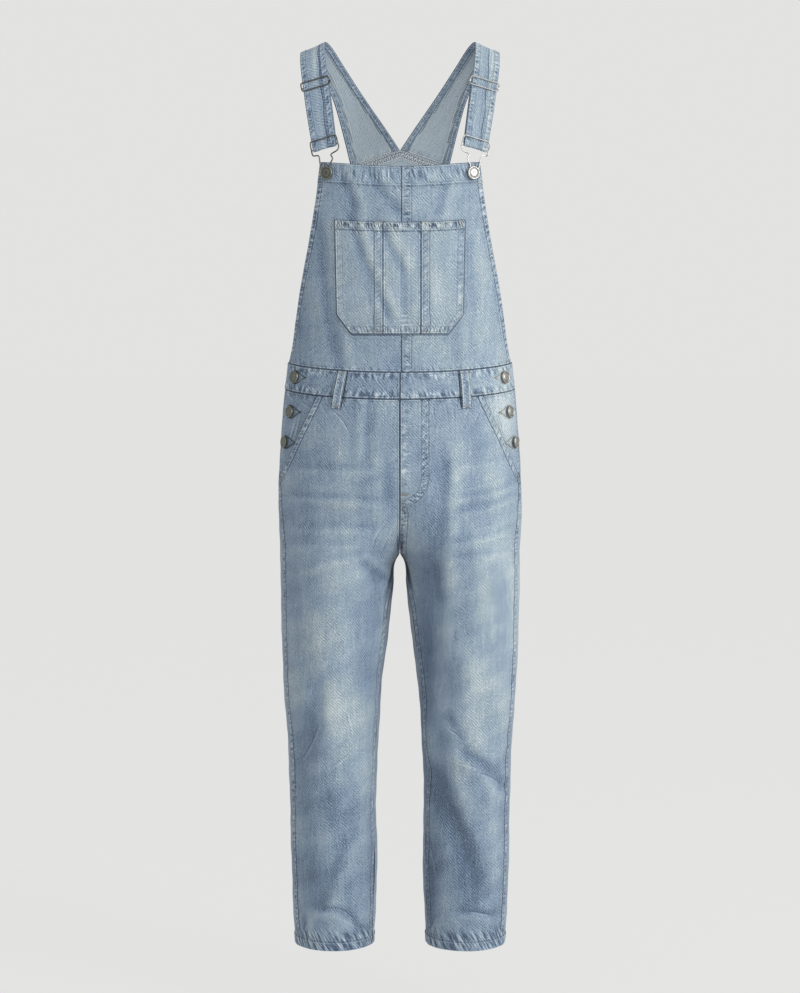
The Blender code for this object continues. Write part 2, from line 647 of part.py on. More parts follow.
def front_frame(x, z, lift):
    """Place on the front of the trunk, raised by `lift`, and the direction square to the cloth."""
    step = SIDE_BUTTON / 8
    around = np.array([[x - step, z], [x + step, z], [x, z - step], [x, z + step], [x, z]])
    left, right, low, high, _ = on_front(around[:, 0], around[:, 1], lift)
    away = np.cross(right - left, high - low)
    away = away / np.linalg.norm(away)
    foot = on_front(around[4:, 0], around[4:, 1], 0.0)[0] + away * lift
    return foot, away


def buckle(side, hand):
    """Wire buckle: a top bar in front of the strap, sides, shoulders and a slot round the button."""
    origin, across, out, down = strap_frame(side, BUCKLE_STATION)
    fold, fold_across, fold_out, fold_down = strap_frame(side, len(STRAP) - 1)
    foot, away = front_frame(side * BIB_BUTTON_X, BIB_BUTTON_Z, BIB_HEM_RAISE)
    to_arm = np.cross([0.0, 0.0, 1.0], away) * side
    to_arm = to_arm / np.linalg.norm(to_arm)
    up = np.cross(away, to_arm) * side
    front, w = WIRE + SEAM_GAP, BUCKLE_HALF_WIDTH
    bar = fold - fold_out * (STRAP_DENIM + BAR + SEAM_GAP)
    ends = [bar + fold_across * a for a in (-1.02 * w, 1.02 * w)]
    top = [(-w, 0.4 * front, BUCKLE_TOP_ROUND), (BUCKLE_TOP_ROUND - w, front, 0.0), (0.0, front, 0.0)]
    top = top + [(-a, b, c) for a, b, c in reversed(top[:2])]
    loop = [origin + across * a + out * b + down * c for a, b, c in top]
    loop = loop + [ends[1], ends[1] + fold_down * BUCKLE_BELOW_FOLD]
    loop = loop + [foot + to_arm * p.arm + up * p.up + away * p.out for p in BUCKLE_FOOT]
    loop = loop + [ends[0] + fold_down * BUCKLE_BELOW_FOLD, ends[0]]
    joined_wire(f"buckle_{hand}", closed_curve(loop, 2), ends, "steel")


def turned(name, profile, foot, away, kind, around=16):
    """Body turned about an axis from a profile of (radius, height) that starts and ends on it."""
    shape = bmesh.new()
    away = np.asarray(away) / np.linalg.norm(away)
    first = np.cross(away, [0.0, 0.0, 1.0])
    first = first / np.linalg.norm(first)
    second = np.cross(away, first)
    rings = []
    for radius, height in profile:
        centre = foot + away * height
        if radius == 0.0:
            rings.append([shape.verts.new(centre)] * around)
            continue
        angles = 2 * math.pi * np.arange(around) / around
        points = [centre + radius * (math.cos(a) * first + math.sin(a) * second) for a in angles]
        rings.append([shape.verts.new(p) for p in points])
    for here, there in zip(rings, rings[1:]):
        for s in range(around):
            n = (s + 1) % around
            corners = [here[s], here[n], there[n], there[s]]
            shape.faces.new(list(dict.fromkeys(corners)))
    return add_object(name, shape, kind)


def button_profile(diameter, lift, thick):
    """Shank, underside, rounded rim, ring and a low dome."""
    r = diameter / 2
    top = lift + thick
    return [
        (0.0, SEAM_GAP), (0.38 * r, SEAM_GAP), (0.38 * r, lift), (0.93 * r, lift + 0.06 * thick),
        (r, lift + 0.35 * thick), (0.96 * r, lift + 0.75 * thick), (0.84 * r, top),
        (0.74 * r, top - 0.2 * thick), (0.50 * r, top), (0.0, top + 0.06 * thick),
    ]


def buttons():
    """One on each end of the bib's hem for the buckles, and three down each side opening."""
    for side, hand in ((1, "left"), (-1, "right")):
        foot, away = front_frame(side * BIB_BUTTON_X, BIB_BUTTON_Z, BIB_HEM_RAISE)
        profile = button_profile(BIB_BUTTON, BIB_BUTTON_STANDOFF, BUTTON_THICK)
        turned(f"bib_button_{hand}", profile, foot, away, "steel" if side > 0 else "pewter")
        for k, spot in enumerate(SIDE_BUTTONS):
            foot, away = front_frame(side * spot.half_width, spot.z, spot.lift)
            profile = button_profile(SIDE_BUTTON, SIDE_BUTTON_STANDOFF, BUTTON_THICK)
            turned(f"side_button_{hand}_{k + 1}", profile, foot, away, "pewter")


def belt_loops():
    """Folded strips from the waistband's top edge to below its lower seam, standing off between."""
    down = np.linspace(0.0, 1.0, 8)[:, None]
    across = np.array([-0.5, 0.0, 0.5]) * LOOP_WIDTH
    for loop in LOOPS:
        x = loop.top_x + down * (loop.foot_x - loop.top_x) + across
        turn = turn_at(x, BAND_TOP_Z) * loop.face
        top = band_z(turn, LOOP_TOP_OVER)
        foot = band_z(turn, BAND_HEIGHT + LOOP_FOOT_BELOW)
        z = top + down * (foot - top)
        lift = BAND_RAISE + LAYER_GAP + LOOP_RISE * np.sin(math.pi * down) ** 0.5 + 0.0 * x
        grids = []
        for extra in (LOOP_THICK, 0.0):
            grid = cloth(1, turn_at(x, z) * loop.face, z, lift + extra)
            grid[..., 0] = np.abs(grid[..., 0]) * np.sign(x)
            grids.append(grid)
        wall(loop.name, *grids)


def main():
    """Clear the scene and build every piece."""
    for old in list(bpy.data.objects):
        bpy.data.objects.remove(old, do_unlink=True)
    leg_panels()
    hip_pieces()
    waistband()
    bib()
    chest_pocket()
    back_panel()
    belt_loops()
    for side, hand in ((1, "left"), (-1, "right")):
        strap(side, hand)
        slider(side, hand)
        buckle(side, hand)
    buttons()


main()
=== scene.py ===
"""Looks of the denim dungarees: fine cloth shells, sewing, metal, light and camera.

The script follows the garment as it is put together. All lengths are metres, +Z is up, the front
faces -Y and the wearer's left is +X.
"""

import math
from collections import namedtuple

import bpy
import numpy as np
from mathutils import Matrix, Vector


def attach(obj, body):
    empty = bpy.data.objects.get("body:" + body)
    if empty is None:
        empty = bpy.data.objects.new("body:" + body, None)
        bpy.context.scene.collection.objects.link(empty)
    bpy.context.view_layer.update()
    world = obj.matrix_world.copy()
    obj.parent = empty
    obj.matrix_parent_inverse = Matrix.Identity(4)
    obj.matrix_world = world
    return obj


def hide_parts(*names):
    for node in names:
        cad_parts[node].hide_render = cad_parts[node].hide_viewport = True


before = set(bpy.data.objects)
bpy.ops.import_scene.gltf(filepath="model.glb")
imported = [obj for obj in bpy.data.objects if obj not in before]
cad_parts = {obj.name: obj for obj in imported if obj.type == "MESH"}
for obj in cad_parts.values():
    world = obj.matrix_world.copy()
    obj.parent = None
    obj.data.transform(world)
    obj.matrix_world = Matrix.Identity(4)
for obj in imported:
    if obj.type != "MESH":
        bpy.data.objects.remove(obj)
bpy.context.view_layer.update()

# The stage. The garment hangs as on a standing wearer, over a plain pale floor, in even light
# from all round, with one large soft lamp high at the right that leaves the left side darker.
STUDIO_GREY = (0.765, 0.765, 0.758)
FLOOR_Z = -1.460
FLOOR_SIZE = 60.0
FLOOR_PAINT = 0.05
FLOOR_GLOW = 0.722
CAMERA_PLACE = Vector((0.0, -3.6, -0.378))
CAMERA_AIM = Vector((0.0, 0.0, -0.673))
CAMERA_LENS = 87.3
Lamp = namedtuple("Lamp", "name place aim width height watts colour")
LAMPS = [
    Lamp("lamp_right", (2.9, -2.3, 0.9), (0.0, 0.0, -0.6), 1.3, 2.2, 118.0, (1.0, 0.995, 0.98)),
    Lamp("lamp_front", (0.6, -4.0, 1.2), (0.0, 0.0, -0.6), 1.6, 1.2, 16.0, (1.0, 1.0, 1.0)),
]

world = bpy.data.worlds.new("studio")
world.use_nodes = True
bpy.context.scene.world = world
world.node_tree.nodes["Background"].inputs["Color"].default_value = (*STUDIO_GREY, 1.0)
bpy.context.scene.view_settings.view_transform = "Standard"

half_floor = FLOOR_SIZE / 2
floor_mesh = bpy.data.meshes.new("floor")
floor_corners = [(x * half_floor, y * half_floor, FLOOR_Z) for x, y in ((-1, -1), (1, -1), (1, 1), (-1, 1))]
floor_mesh.from_pydata(floor_corners, [], [(0, 1, 2, 3)])
floor = bpy.data.objects.new("floor", floor_mesh)
bpy.context.scene.collection.objects.link(floor)
floor_paint = bpy.data.materials.new("floor_paint")
floor_paint.use_nodes = True
floor_surface = floor_paint.node_tree.nodes["Principled BSDF"]
floor_surface.inputs["Base Color"].default_value = (FLOOR_PAINT, FLOOR_PAINT, FLOOR_PAINT, 1.0)
floor_surface.inputs["Roughness"].default_value = 1.0
floor_surface.inputs["Specular IOR Level"].default_value = 0.0
floor_surface.inputs["Emission Color"].default_value = (1.0, 1.0, 0.992, 1.0)
floor_surface.inputs["Emission Strength"].default_value = FLOOR_GLOW
floor_mesh.materials.append(floor_paint)

for lamp in LAMPS:
    light = bpy.data.lights.new(lamp.name, "AREA")
    light.shape, light.size, light.size_y = "RECTANGLE", lamp.width, lamp.height
    light.energy, light.color = lamp.watts, lamp.colour
    lamp_object = bpy.data.objects.new(lamp.name, light)
    lamp_object.location = lamp.place
    toward = Vector(lamp.aim) - Vector(lamp.place)
    lamp_object.rotation_euler = toward.to_track_quat("-Z", "Y").to_euler()
    bpy.context.scene.collection.objects.link(lamp_object)

camera_data = bpy.data.cameras.new("camera")
camera_data.lens, camera_data.sensor_width = CAMERA_LENS, 36.0
camera = bpy.data.objects.new("camera", camera_data)
camera.location = CAMERA_PLACE
camera.rotation_euler = (CAMERA_AIM - CAMERA_PLACE).to_track_quat("-Z", "Y").to_euler()
bpy.context.scene.collection.objects.link(camera)
bpy.context.scene.camera = camera

# The denim: light-washed indigo cotton twill. Indigo sits on the warp's surface, so cloth that
# has rubbed is pale and seams stay blue; the twill's ribs run down to the right, and sewing
# draws the cloth into short puckers whose crests have rubbed white.
DENIM = 0.0016
TWILL_ACROSS, TWILL_DOWN = 0.72, 0.69
TWILL_PITCH = 0.0016
TWILL_RUN = 0.0065
RIB_PITCH = 0.0033
PUCKER_PITCH = 0.0036
PUCKER_RUN = 0.0120
WASH = [
    (0.00, (0.060, 0.088, 0.138)),
    (0.22, (0.120, 0.170, 0.242)),
    (0.50, (0.204, 0.272, 0.354)),
    (0.78, (0.305, 0.372, 0.440)),
    (1.00, (0.470, 0.530, 0.585)),
]
WRONG_SIDE = [
    (0.00, (0.150, 0.190, 0.240)),
    (0.50, (0.320, 0.378, 0.430)),
    (1.00, (0.480, 0.530, 0.570)),
]
RUBBED = (1.0, 0.992, 0.925, 1.0)
# Near-black painted shade, mixed in at seam grooves and where the fork's painted shade lies
PAINTED_SHADE_DARK = (0.024, 0.036, 0.058, 1.0)


class Socket:
    """One output of a shader node. Sums, products and powers of it add Math nodes to its tree."""

    def __init__(self, tree, output=None):
        self.tree, self.output = tree, output

    def node(self, kind, settings=(), ports=(), out=0):
        """Add a node: its settings are set first, then the values or links of its sockets."""
        made = self.tree.nodes.new(kind)
        for key, value in dict(settings).items():
            if key == "stops":
                first, *middle, last = value
                ramp = made.color_ramp.elements
                for element, (place, colour) in ((ramp[0], first), (ramp[1], last)):
                    element.position, element.color = place, (*colour, 1.0)
                for place, colour in middle:
                    ramp.new(place).color = (*colour, 1.0)
            else:
                setattr(made, key, value)
        for key, value in dict(ports).items():
            if isinstance(value, Socket):
                self.tree.links.new(value.output, made.inputs[key])
            else:
                made.inputs[key].default_value = value
        return Socket(self.tree, made.outputs[out])

    def math(self, operation, first, second=0.0):
        """Add one Math node."""
        return self.node("ShaderNodeMath", {"operation": operation}, {0: first, 1: second})

    def __add__(self, other):
        return self.math("ADD", self, other)

    def __sub__(self, other):
        return self.math("SUBTRACT", self, other)

    def __rsub__(self, other):
        return self.math("SUBTRACT", other, self)

    def __mul__(self, other):
        return self.math("MULTIPLY", self, other)

    def __truediv__(self, other):
        return self.math("DIVIDE", self, other)

    __radd__, __rmul__ = __add__, __mul__

    def bell(self, centre, width):
        """1 where the value is `centre`, falling to nothing a few widths away."""
        away = (self - centre) / width
        return self.math("EXPONENT", away * away * -1.0)

    def split(self):
        """The first two parts of a vector."""
        parts = self.node("ShaderNodeSeparateXYZ", ports={0: self})
        node = parts.output.node
        return Socket(self.tree, node.outputs[0]), Socket(self.tree, node.outputs[1])

    def noise(self, across, down, detail=1.0):
        """Flat noise about 0, one unit of each coordinate to a grain."""
        place = self.node("ShaderNodeCombineXYZ", ports={0: across, 1: down})
        ports = {"Vector": place, "Scale": 1.0, "Detail": detail}
        return self.node("ShaderNodeTexNoise", {"noise_dimensions": "2D"}, ports) - 0.5


def finish(name, roughness, metallic=0.0):
    """A new Principled material, its shader node and a socket to build from."""
    made = bpy.data.materials.new(name)
    made.use_nodes = True
    shader = made.node_tree.nodes["Principled BSDF"]
    shader.inputs["Roughness"].default_value = roughness
    shader.inputs["Metallic"].default_value = metallic
    return made, shader, Socket(made.node_tree)


def link(shader, port, value):
    """Feed one socket of a shader."""
    shader.id_data.links.new(value.output, shader.inputs[port])


def denim(name, wash, contrast):
    """Twill on the cloth's own coordinates, faded by `wear` to a warmer grey and puckered
    along its seams by `pull`; that attribute also carries painted light and painted shade, and below zero
    it is painted shade that mixes towards a near-black painted shade colour. Each sewn edge is a groove,
    whose dark is partly unfaded indigo and partly painted shade, with a rubbed ridge and a row of stitches
    beside it, and each small fold a painted highlight on its crest and painted shade at its foot."""
    made, shader, start = finish(name, 0.92)
    shader.inputs["Specular IOR Level"].default_value = 0.25
    shader.inputs["Sheen Weight"].default_value = 0.12
    shader.inputs["Sheen Roughness"].default_value = 0.5
    across, down = start.node("ShaderNodeUVMap", {"uv_map": "cloth"}).split()
    along, beside = start.node("ShaderNodeUVMap", {"uv_map": "seam"}).split()
    inside, edge = start.node("ShaderNodeUVMap", {"uv_map": "edge"}).split()
    over_fold, fold = start.node("ShaderNodeUVMap", {"uv_map": "fold"}).split()
    wear = start.node("ShaderNodeAttribute", {"attribute_name": "wear"}, out="Fac")
    pull = start.node("ShaderNodeAttribute", {"attribute_name": "pull"}, out="Fac")
    over = across * TWILL_ACROSS + down * TWILL_DOWN
    with_rib = down * TWILL_ACROSS - across * TWILL_DOWN
    drift = start.noise(across / 0.012, down / 0.018, 2.0)
    patch = start.noise(across / 0.014, down / 0.014, 2.0)
    ribs = start.math("SINE", over * (2 * math.pi / RIB_PITCH) + drift * 7.5) * (patch * 2.6 + 0.75)
    twill = start.noise(over / TWILL_PITCH, with_rib / TWILL_RUN, 2.0)
    slub = start.noise(across / 0.0030, down / 0.050, 2.0)
    grain = start.noise(across / 0.0016, down / 0.0016, 2.0)
    mottle = start.noise(across / 0.012, down / 0.018, 3.0)
    cloud = start.noise(across / 0.055, down / 0.080, 3.0)
    streak = start.noise(across / 0.014, down / 0.120, 2.0)
    pucker = start.noise(along / PUCKER_PITCH, beside / PUCKER_RUN, 2.0)
    # The groove's dark in the colour is partly unfaded indigo and partly painted shade
    groove_and_shade = inside.bell(0.0, 0.0008) * edge
    ridge = inside.bell(0.0018, 0.0008) * edge
    sunk = inside.bell(0.0033, 0.0006) * edge
    crest = over_fold.bell(0.0011, 0.0012) * fold
    foot = over_fold.bell(-0.0012, 0.0011) * fold
    shade = wear + twill * (0.56 * contrast) + ribs * (0.160 * contrast) + slub * (0.24 * contrast)
    shade = shade + grain * (0.95 * contrast) + mottle * (0.20 * contrast) + cloud * (0.14 * contrast)
    shade = shade + streak * (0.12 * contrast)
    # A fold's crest is a painted highlight and its foot painted shade
    shade = shade + pull * (pucker * 2.4 - 0.06) + ridge * 0.22 - sunk * 0.16 + crest * 0.40 - foot * 0.34
    colour = start.node("ShaderNodeValToRGB", {"stops": wash}, {0: shade - groove_and_shade * 0.60})
    rubbed = start.node("ShaderNodeClamp", ports={0: (wear + cloud * 0.6 - 0.44) * 3.2})
    warmer = start.node("ShaderNodeMixRGB", {"blend_type": "MULTIPLY"}, {0: rubbed, 1: colour, 2: RUBBED})
    # Below zero the wash value is painted shade at the fork, mixed towards the near-black painted shade
    # colour
    painted_fork_shade = start.node("ShaderNodeClamp", ports={0: wear * -2.0})
    painted_shade_share = groove_and_shade * 0.5 + painted_fork_shade
    deep = start.node("ShaderNodeMixRGB", ports={0: painted_shade_share, 1: warmer, 2: PAINTED_SHADE_DARK})
    link(shader, "Base Color", deep)
    height = pull * pucker * 1.6 + twill * 0.14 + ribs * 0.022 + slub * 0.08 + grain * 0.06
    height = height + ridge * 0.35 - groove_and_shade * 0.40 - sunk * 0.20 + crest * 0.50 - foot * 0.40
    bump = start.node("ShaderNodeBump", ports={"Strength": 1.0, "Distance": 0.001, "Height": height})
    link(shader, "Normal", bump)
    return made


DENIM_FACE = denim("denim_face", WASH, 1.0)
DENIM_BACK = denim("denim_back", WRONG_SIDE, 0.7)

# Legs: a front and a back piece each, felled together down the outside and the inside, with a
# narrow turned hem. They are filled out as on a standing wearer, so each is a wall on the
# garment's own form, softly creased at the hip, knee and ankle.
SEAM_GAP, CENTRE_GAP = 0.0003, 0.00002
LAST = -1e-6  # the distance that stands for the last row or column itself
NOT_NEAR, SEAM_NEAR, FOLD_NEAR = 0.02, 0.0055, 0.008
SIDE_SEAM_TURN, LEG_SEAM_TURN, LEG_SEAM_SETTLE = -8.0, -21.0, 0.120
INSEAM_TURN, INSEAM_SETTLE = -160.0, 0.080
HEM_Z, HEM_HEIGHT, HEM_RAISE = -1.3505, 0.0135, 0.0010
HEM_ROW, LEG_PLUMB = 0.0018, 0.095
Edge = namedtuple("Edge", "z half_width")
SLANT_TOP = Edge(-0.5180, 0.1245)
SLANT_FOOT = Edge(-0.6440, 0.1786)
FORK_Z, FORK_TOP_Z = -0.7580, -0.600
BAND_TOP_Z, BAND_HEIGHT, FRONT_DIP = -0.4715, 0.0390, 0.0125
FELL_WIDTH, FELL_RAISE, FELL_SLOPE, MOUTH_WIDTH = 0.0118, 0.0006, 0.0015, 0.0092
FRONT, BACK = -1, 1
SIDES = ((1, "left"), (-1, "right"))


def table(kind, numbers, *first):
    """Rows of one kind from whole numbers, in 0.1 mm or in 1/10000 of a share. Each opens with `first`."""
    return [kind(*first, *(number / 10000 for number in row)) for row in numbers]


Form = namedtuple("Form", "z half_width inner front back")
FORM = table(Form, (
    (-13510, 1590, 396, 640, 680), (-13000, 1622, 372, 665, 705), (-12270, 1650, 349, 705, 750),
    (-11350, 1667, 362, 745, 790), (-10425, 1694, 325, 800, 810), (-9500, 1758, 264, 880, 930),
    (-8600, 1785, 151, 960, 1060), (-8000, 1797, 92, 1005, 1150), (-7700, 1798, 70, 1025, 1195),
    (-7580, 1799, 0, 1032, 1215), (-7000, 1822, 0, 1060, 1290), (-6300, 1806, 0, 1070, 1270),
    (-5700, 1766, 0, 1040, 1170), (-5200, 1727, 0, 985, 1070), (-4760, 1668, 0, 940, 985),
    (-4000, 1668, 0, 985, 960), (-3000, 1680, 0, 1060, 985), (-2300, 1690, 0, 1085, 1005),
    (-1500, 1700, 0, 1040, 965),
))

# Creases of the front or the back: a line from (x0, z0) to (x1, z1), bowed sideways in its middle.
# `left` and `right` are the reach of its two flanks as it runs, in x and z as seen from the front.
# A depth below zero is a ridge.
Crease = namedtuple("Crease", "face x0 z0 x1 z1 bow left right depth crest", defaults=(0.6,))
# The large ones, which the solids have too
CREASES = table(Crease, (
    (-1240, -9550, -1480, -10700, 0, 200, 200, 35, 0),
    (-880, -11950, -1220, -12850, 0, 200, 200, 30, 0), (-920, -9600, -900, -10200, 0, 340, 340, -35, 0),
    (600, -11100, 1100, -12400, 0, 180, 180, 45, 0), (660, -10850, 1400, -10750, 0, 200, 200, 30, 0),
    (950, -9750, 1000, -10400, 0, 320, 320, -30, 0), (300, -8000, 500, -9400, 0, 240, 240, 35, 0),
    (-280, -8000, -460, -9200, 0, 220, 220, 30, 0), (-600, -7000, -1650, -6720, 0, 200, 200, 20, 0),
    (600, -7000, 1650, -6760, 0, 200, 200, 20, 0),
), FRONT)
CREASES += table(Crease, (
    (-750, -7920, -1550, -7760, 0, 240, 240, 35, 0), (750, -7970, 1550, -7780, 0, 240, 240, 35, 0),
    (-600, -10100, -1450, -10300, 0, 220, 220, 40, 0), (600, -10200, 1450, -10000, 0, 220, 220, 40, 0),
    (-650, -10800, -1400, -11150, 0, 220, 220, 30, 0), (600, -10900, 1400, -10650, 0, 220, 220, 30, 0),
), BACK)
# Whiskers over the thighs, and folds at the hips, knees and ankles
CREASES += table(Crease, (
    (-1456, -6228, -434, -6213, 0, 53, 47, 7, 7000), (-1514, -6647, -404, -6692, 15, 56, 47, 10, 7000),
    (-1485, -7096, -434, -7096, 30, 59, 47, 7, 7000), (-1456, -7351, -696, -7321, 15, 44, 38, 5, 6000),
    (-1280, -7665, -609, -7471, 15, 59, 50, 7, 7000), (910, -6153, 1581, -6093, -15, 50, 44, 5, 7000),
    (880, -6632, 1654, -6483, -30, 53, 44, 7, 7000), (895, -6842, 1683, -6662, -30, 50, 44, 9, 7000),
    (807, -7291, 1640, -7126, -15, 50, 44, 7, 7000), (764, -7515, 1537, -7456, 0, 50, 44, 5, 6000),
    (-492, -6078, -448, -5270, 0, 59, 89, 12, 6000), (-711, -6018, -682, -5300, 0, 44, 59, 7, 6000),
    (355, -9806, 632, -6228, 0, 125, 115, 26, 3500), (632, -7186, 632, -6258, 0, 59, 74, 10, 5000),
    (-54, -8009, -492, -7665, 30, 59, 59, 16, 6000), (1172, -12485, 442, -10809, 0, 125, 150, 32, 5000),
    (968, -10480, 1523, -11003, 67, 68, 90, 26, 7000), (734, -9971, 939, -10315, 30, 74, 74, 14, 6000),
    (968, -12890, 1362, -12965, 30, 38, 50, 16, 6000),
    (-1164, -12860, -609, -13174, 133, 45, 70, 19, 6000),
    (-1456, -10689, -1222, -9581, -30, 95, 110, 14, 5000),
    (-1178, -12755, -857, -11977, 0, 89, 89, 13, 6000),
    (-1426, -13279, -1441, -13054, 0, 36, 44, 16, 6000),
    (413, -13249, 457, -12426, 0, 59, 89, 14, 5000), (-696, -11797, -784, -10779, 0, 89, 104, 10, 5000),
), FRONT)
# The seat and the backs of the knees
CREASES += table(Crease, (
    (-300, -7750, -1100, -8000, 80, 100, 140, 20), (300, -7750, 1150, -8060, -80, 100, 140, 20),
    (-500, -10450, -1500, -10600, 80, 100, 140, 24), (550, -10500, 1500, -10350, -80, 100, 140, 24),
    (-600, -9700, -1400, -9900, -60, 100, 140, 18), (600, -9850, 1450, -9650, 60, 100, 140, 18),
    (700, -11800, 1200, -12700, 40, 120, 180, 22), (-750, -11900, -1150, -12800, 40, 120, 180, 22),
    (-900, -13000, -1300, -13100, 40, 70, 100, 14),
), BACK)

# Ovals of the front or the back where the colour is lighter or darker than the plain wash. Those just
# either side of the centre by the fork, at x of 0.012 to 0.018 and z of -0.80 to -0.82, are painted
# light that lifts the shade between the legs.
Fade = namedtuple("Fade", "face x z half_width half_height lean amount")
FADES_AND_PAINTED_LIGHT = table(Fade, (
    (1500, -5300, 260, 450, 0, 1600), (1680, -8200, 140, 1100, 0, 1400),
    (180, -8000, 150, 900, -1000, 2000), (-170, -8200, 110, 900, 1000, 1500),
    (800, -4900, 600, 200, 0, 500), (-900, -7200, 600, 1200, 0, 300), (1650, -7000, 200, 1500, 0, 600),
    (950, -12300, 800, 1300, 0, -400), (-950, -12700, 800, 800, 0, -400),
    (1480, -5300, 260, 650, 0, 1400), (-404, -5000, 350, 180, 0, -700), (180, -4821, 204, 180, 0, -900),
    (661, -5000, 380, 180, 0, -400), (-1193, -5015, 204, 150, 0, 400),
    (-974, -9791, 330, 800, -3000, 2400), (-799, -8533, 350, 900, 0, 900),
    (-696, -7336, 321, 240, 0, 800), (-302, -6557, 88, 510, 0, 1000), (-156, -6617, 102, 480, 0, -1700),
    (-945, -11228, 248, 630, -1000, -1200), (-1339, -9956, 117, 630, 2000, -700),
    (-1324, -12426, 161, 510, 0, -900), (-872, -12246, 175, 300, 0, 600),
    (-302, -7845, 190, 180, 0, -1200), (-463, -12126, 73, 660, 0, -500),
    (-1689, -6737, 117, 900, 0, -800), (369, -8833, 88, 780, -1200, -1800),
    (545, -7860, 88, 510, -2000, -1000), (837, -6453, 102, 360, 0, 1500),
    (1290, -9581, 280, 900, 0, 2000), (1421, -7411, 263, 930, 0, 1500), (1026, -7665, 292, 270, 0, 600),
    (1421, -12246, 117, 510, 2000, 1200), (457, -12800, 131, 510, 0, -1200),
    (968, -10809, 263, 105, 0, 800), (355, -10360, 88, 660, 0, -800), (676, -12156, 204, 390, 0, -500),
    (121, -8234, 131, 750, -2000, 1400), (-171, -8234, 102, 675, 2000, 1000),
    (180, -6737, 146, 600, 0, -500), (1552, -5839, 146, 600, 0, 1000),
    (-900, -12000, 800, 1300, 0, -600), (1000, -12200, 800, 1200, 0, -1200),
), FRONT)
FADES_AND_PAINTED_LIGHT += table(Fade, (
    (-850, -6900, 550, 850, 0, 1500), (850, -6900, 550, 850, 0, 1500),
    (-950, -9000, 400, 1300, 0, 1000), (950, -9000, 400, 1300, 0, 1000),
    (-950, -12000, 600, 1200, 0, -600), (950, -12000, 600, 1200, 0, -600),
), BACK)
PLAIN_WEAR = 0.50
CREASE_WEAR = 0.27
# Strength of the painted shade between the legs at the fork
FORK_SHADE = 1.4
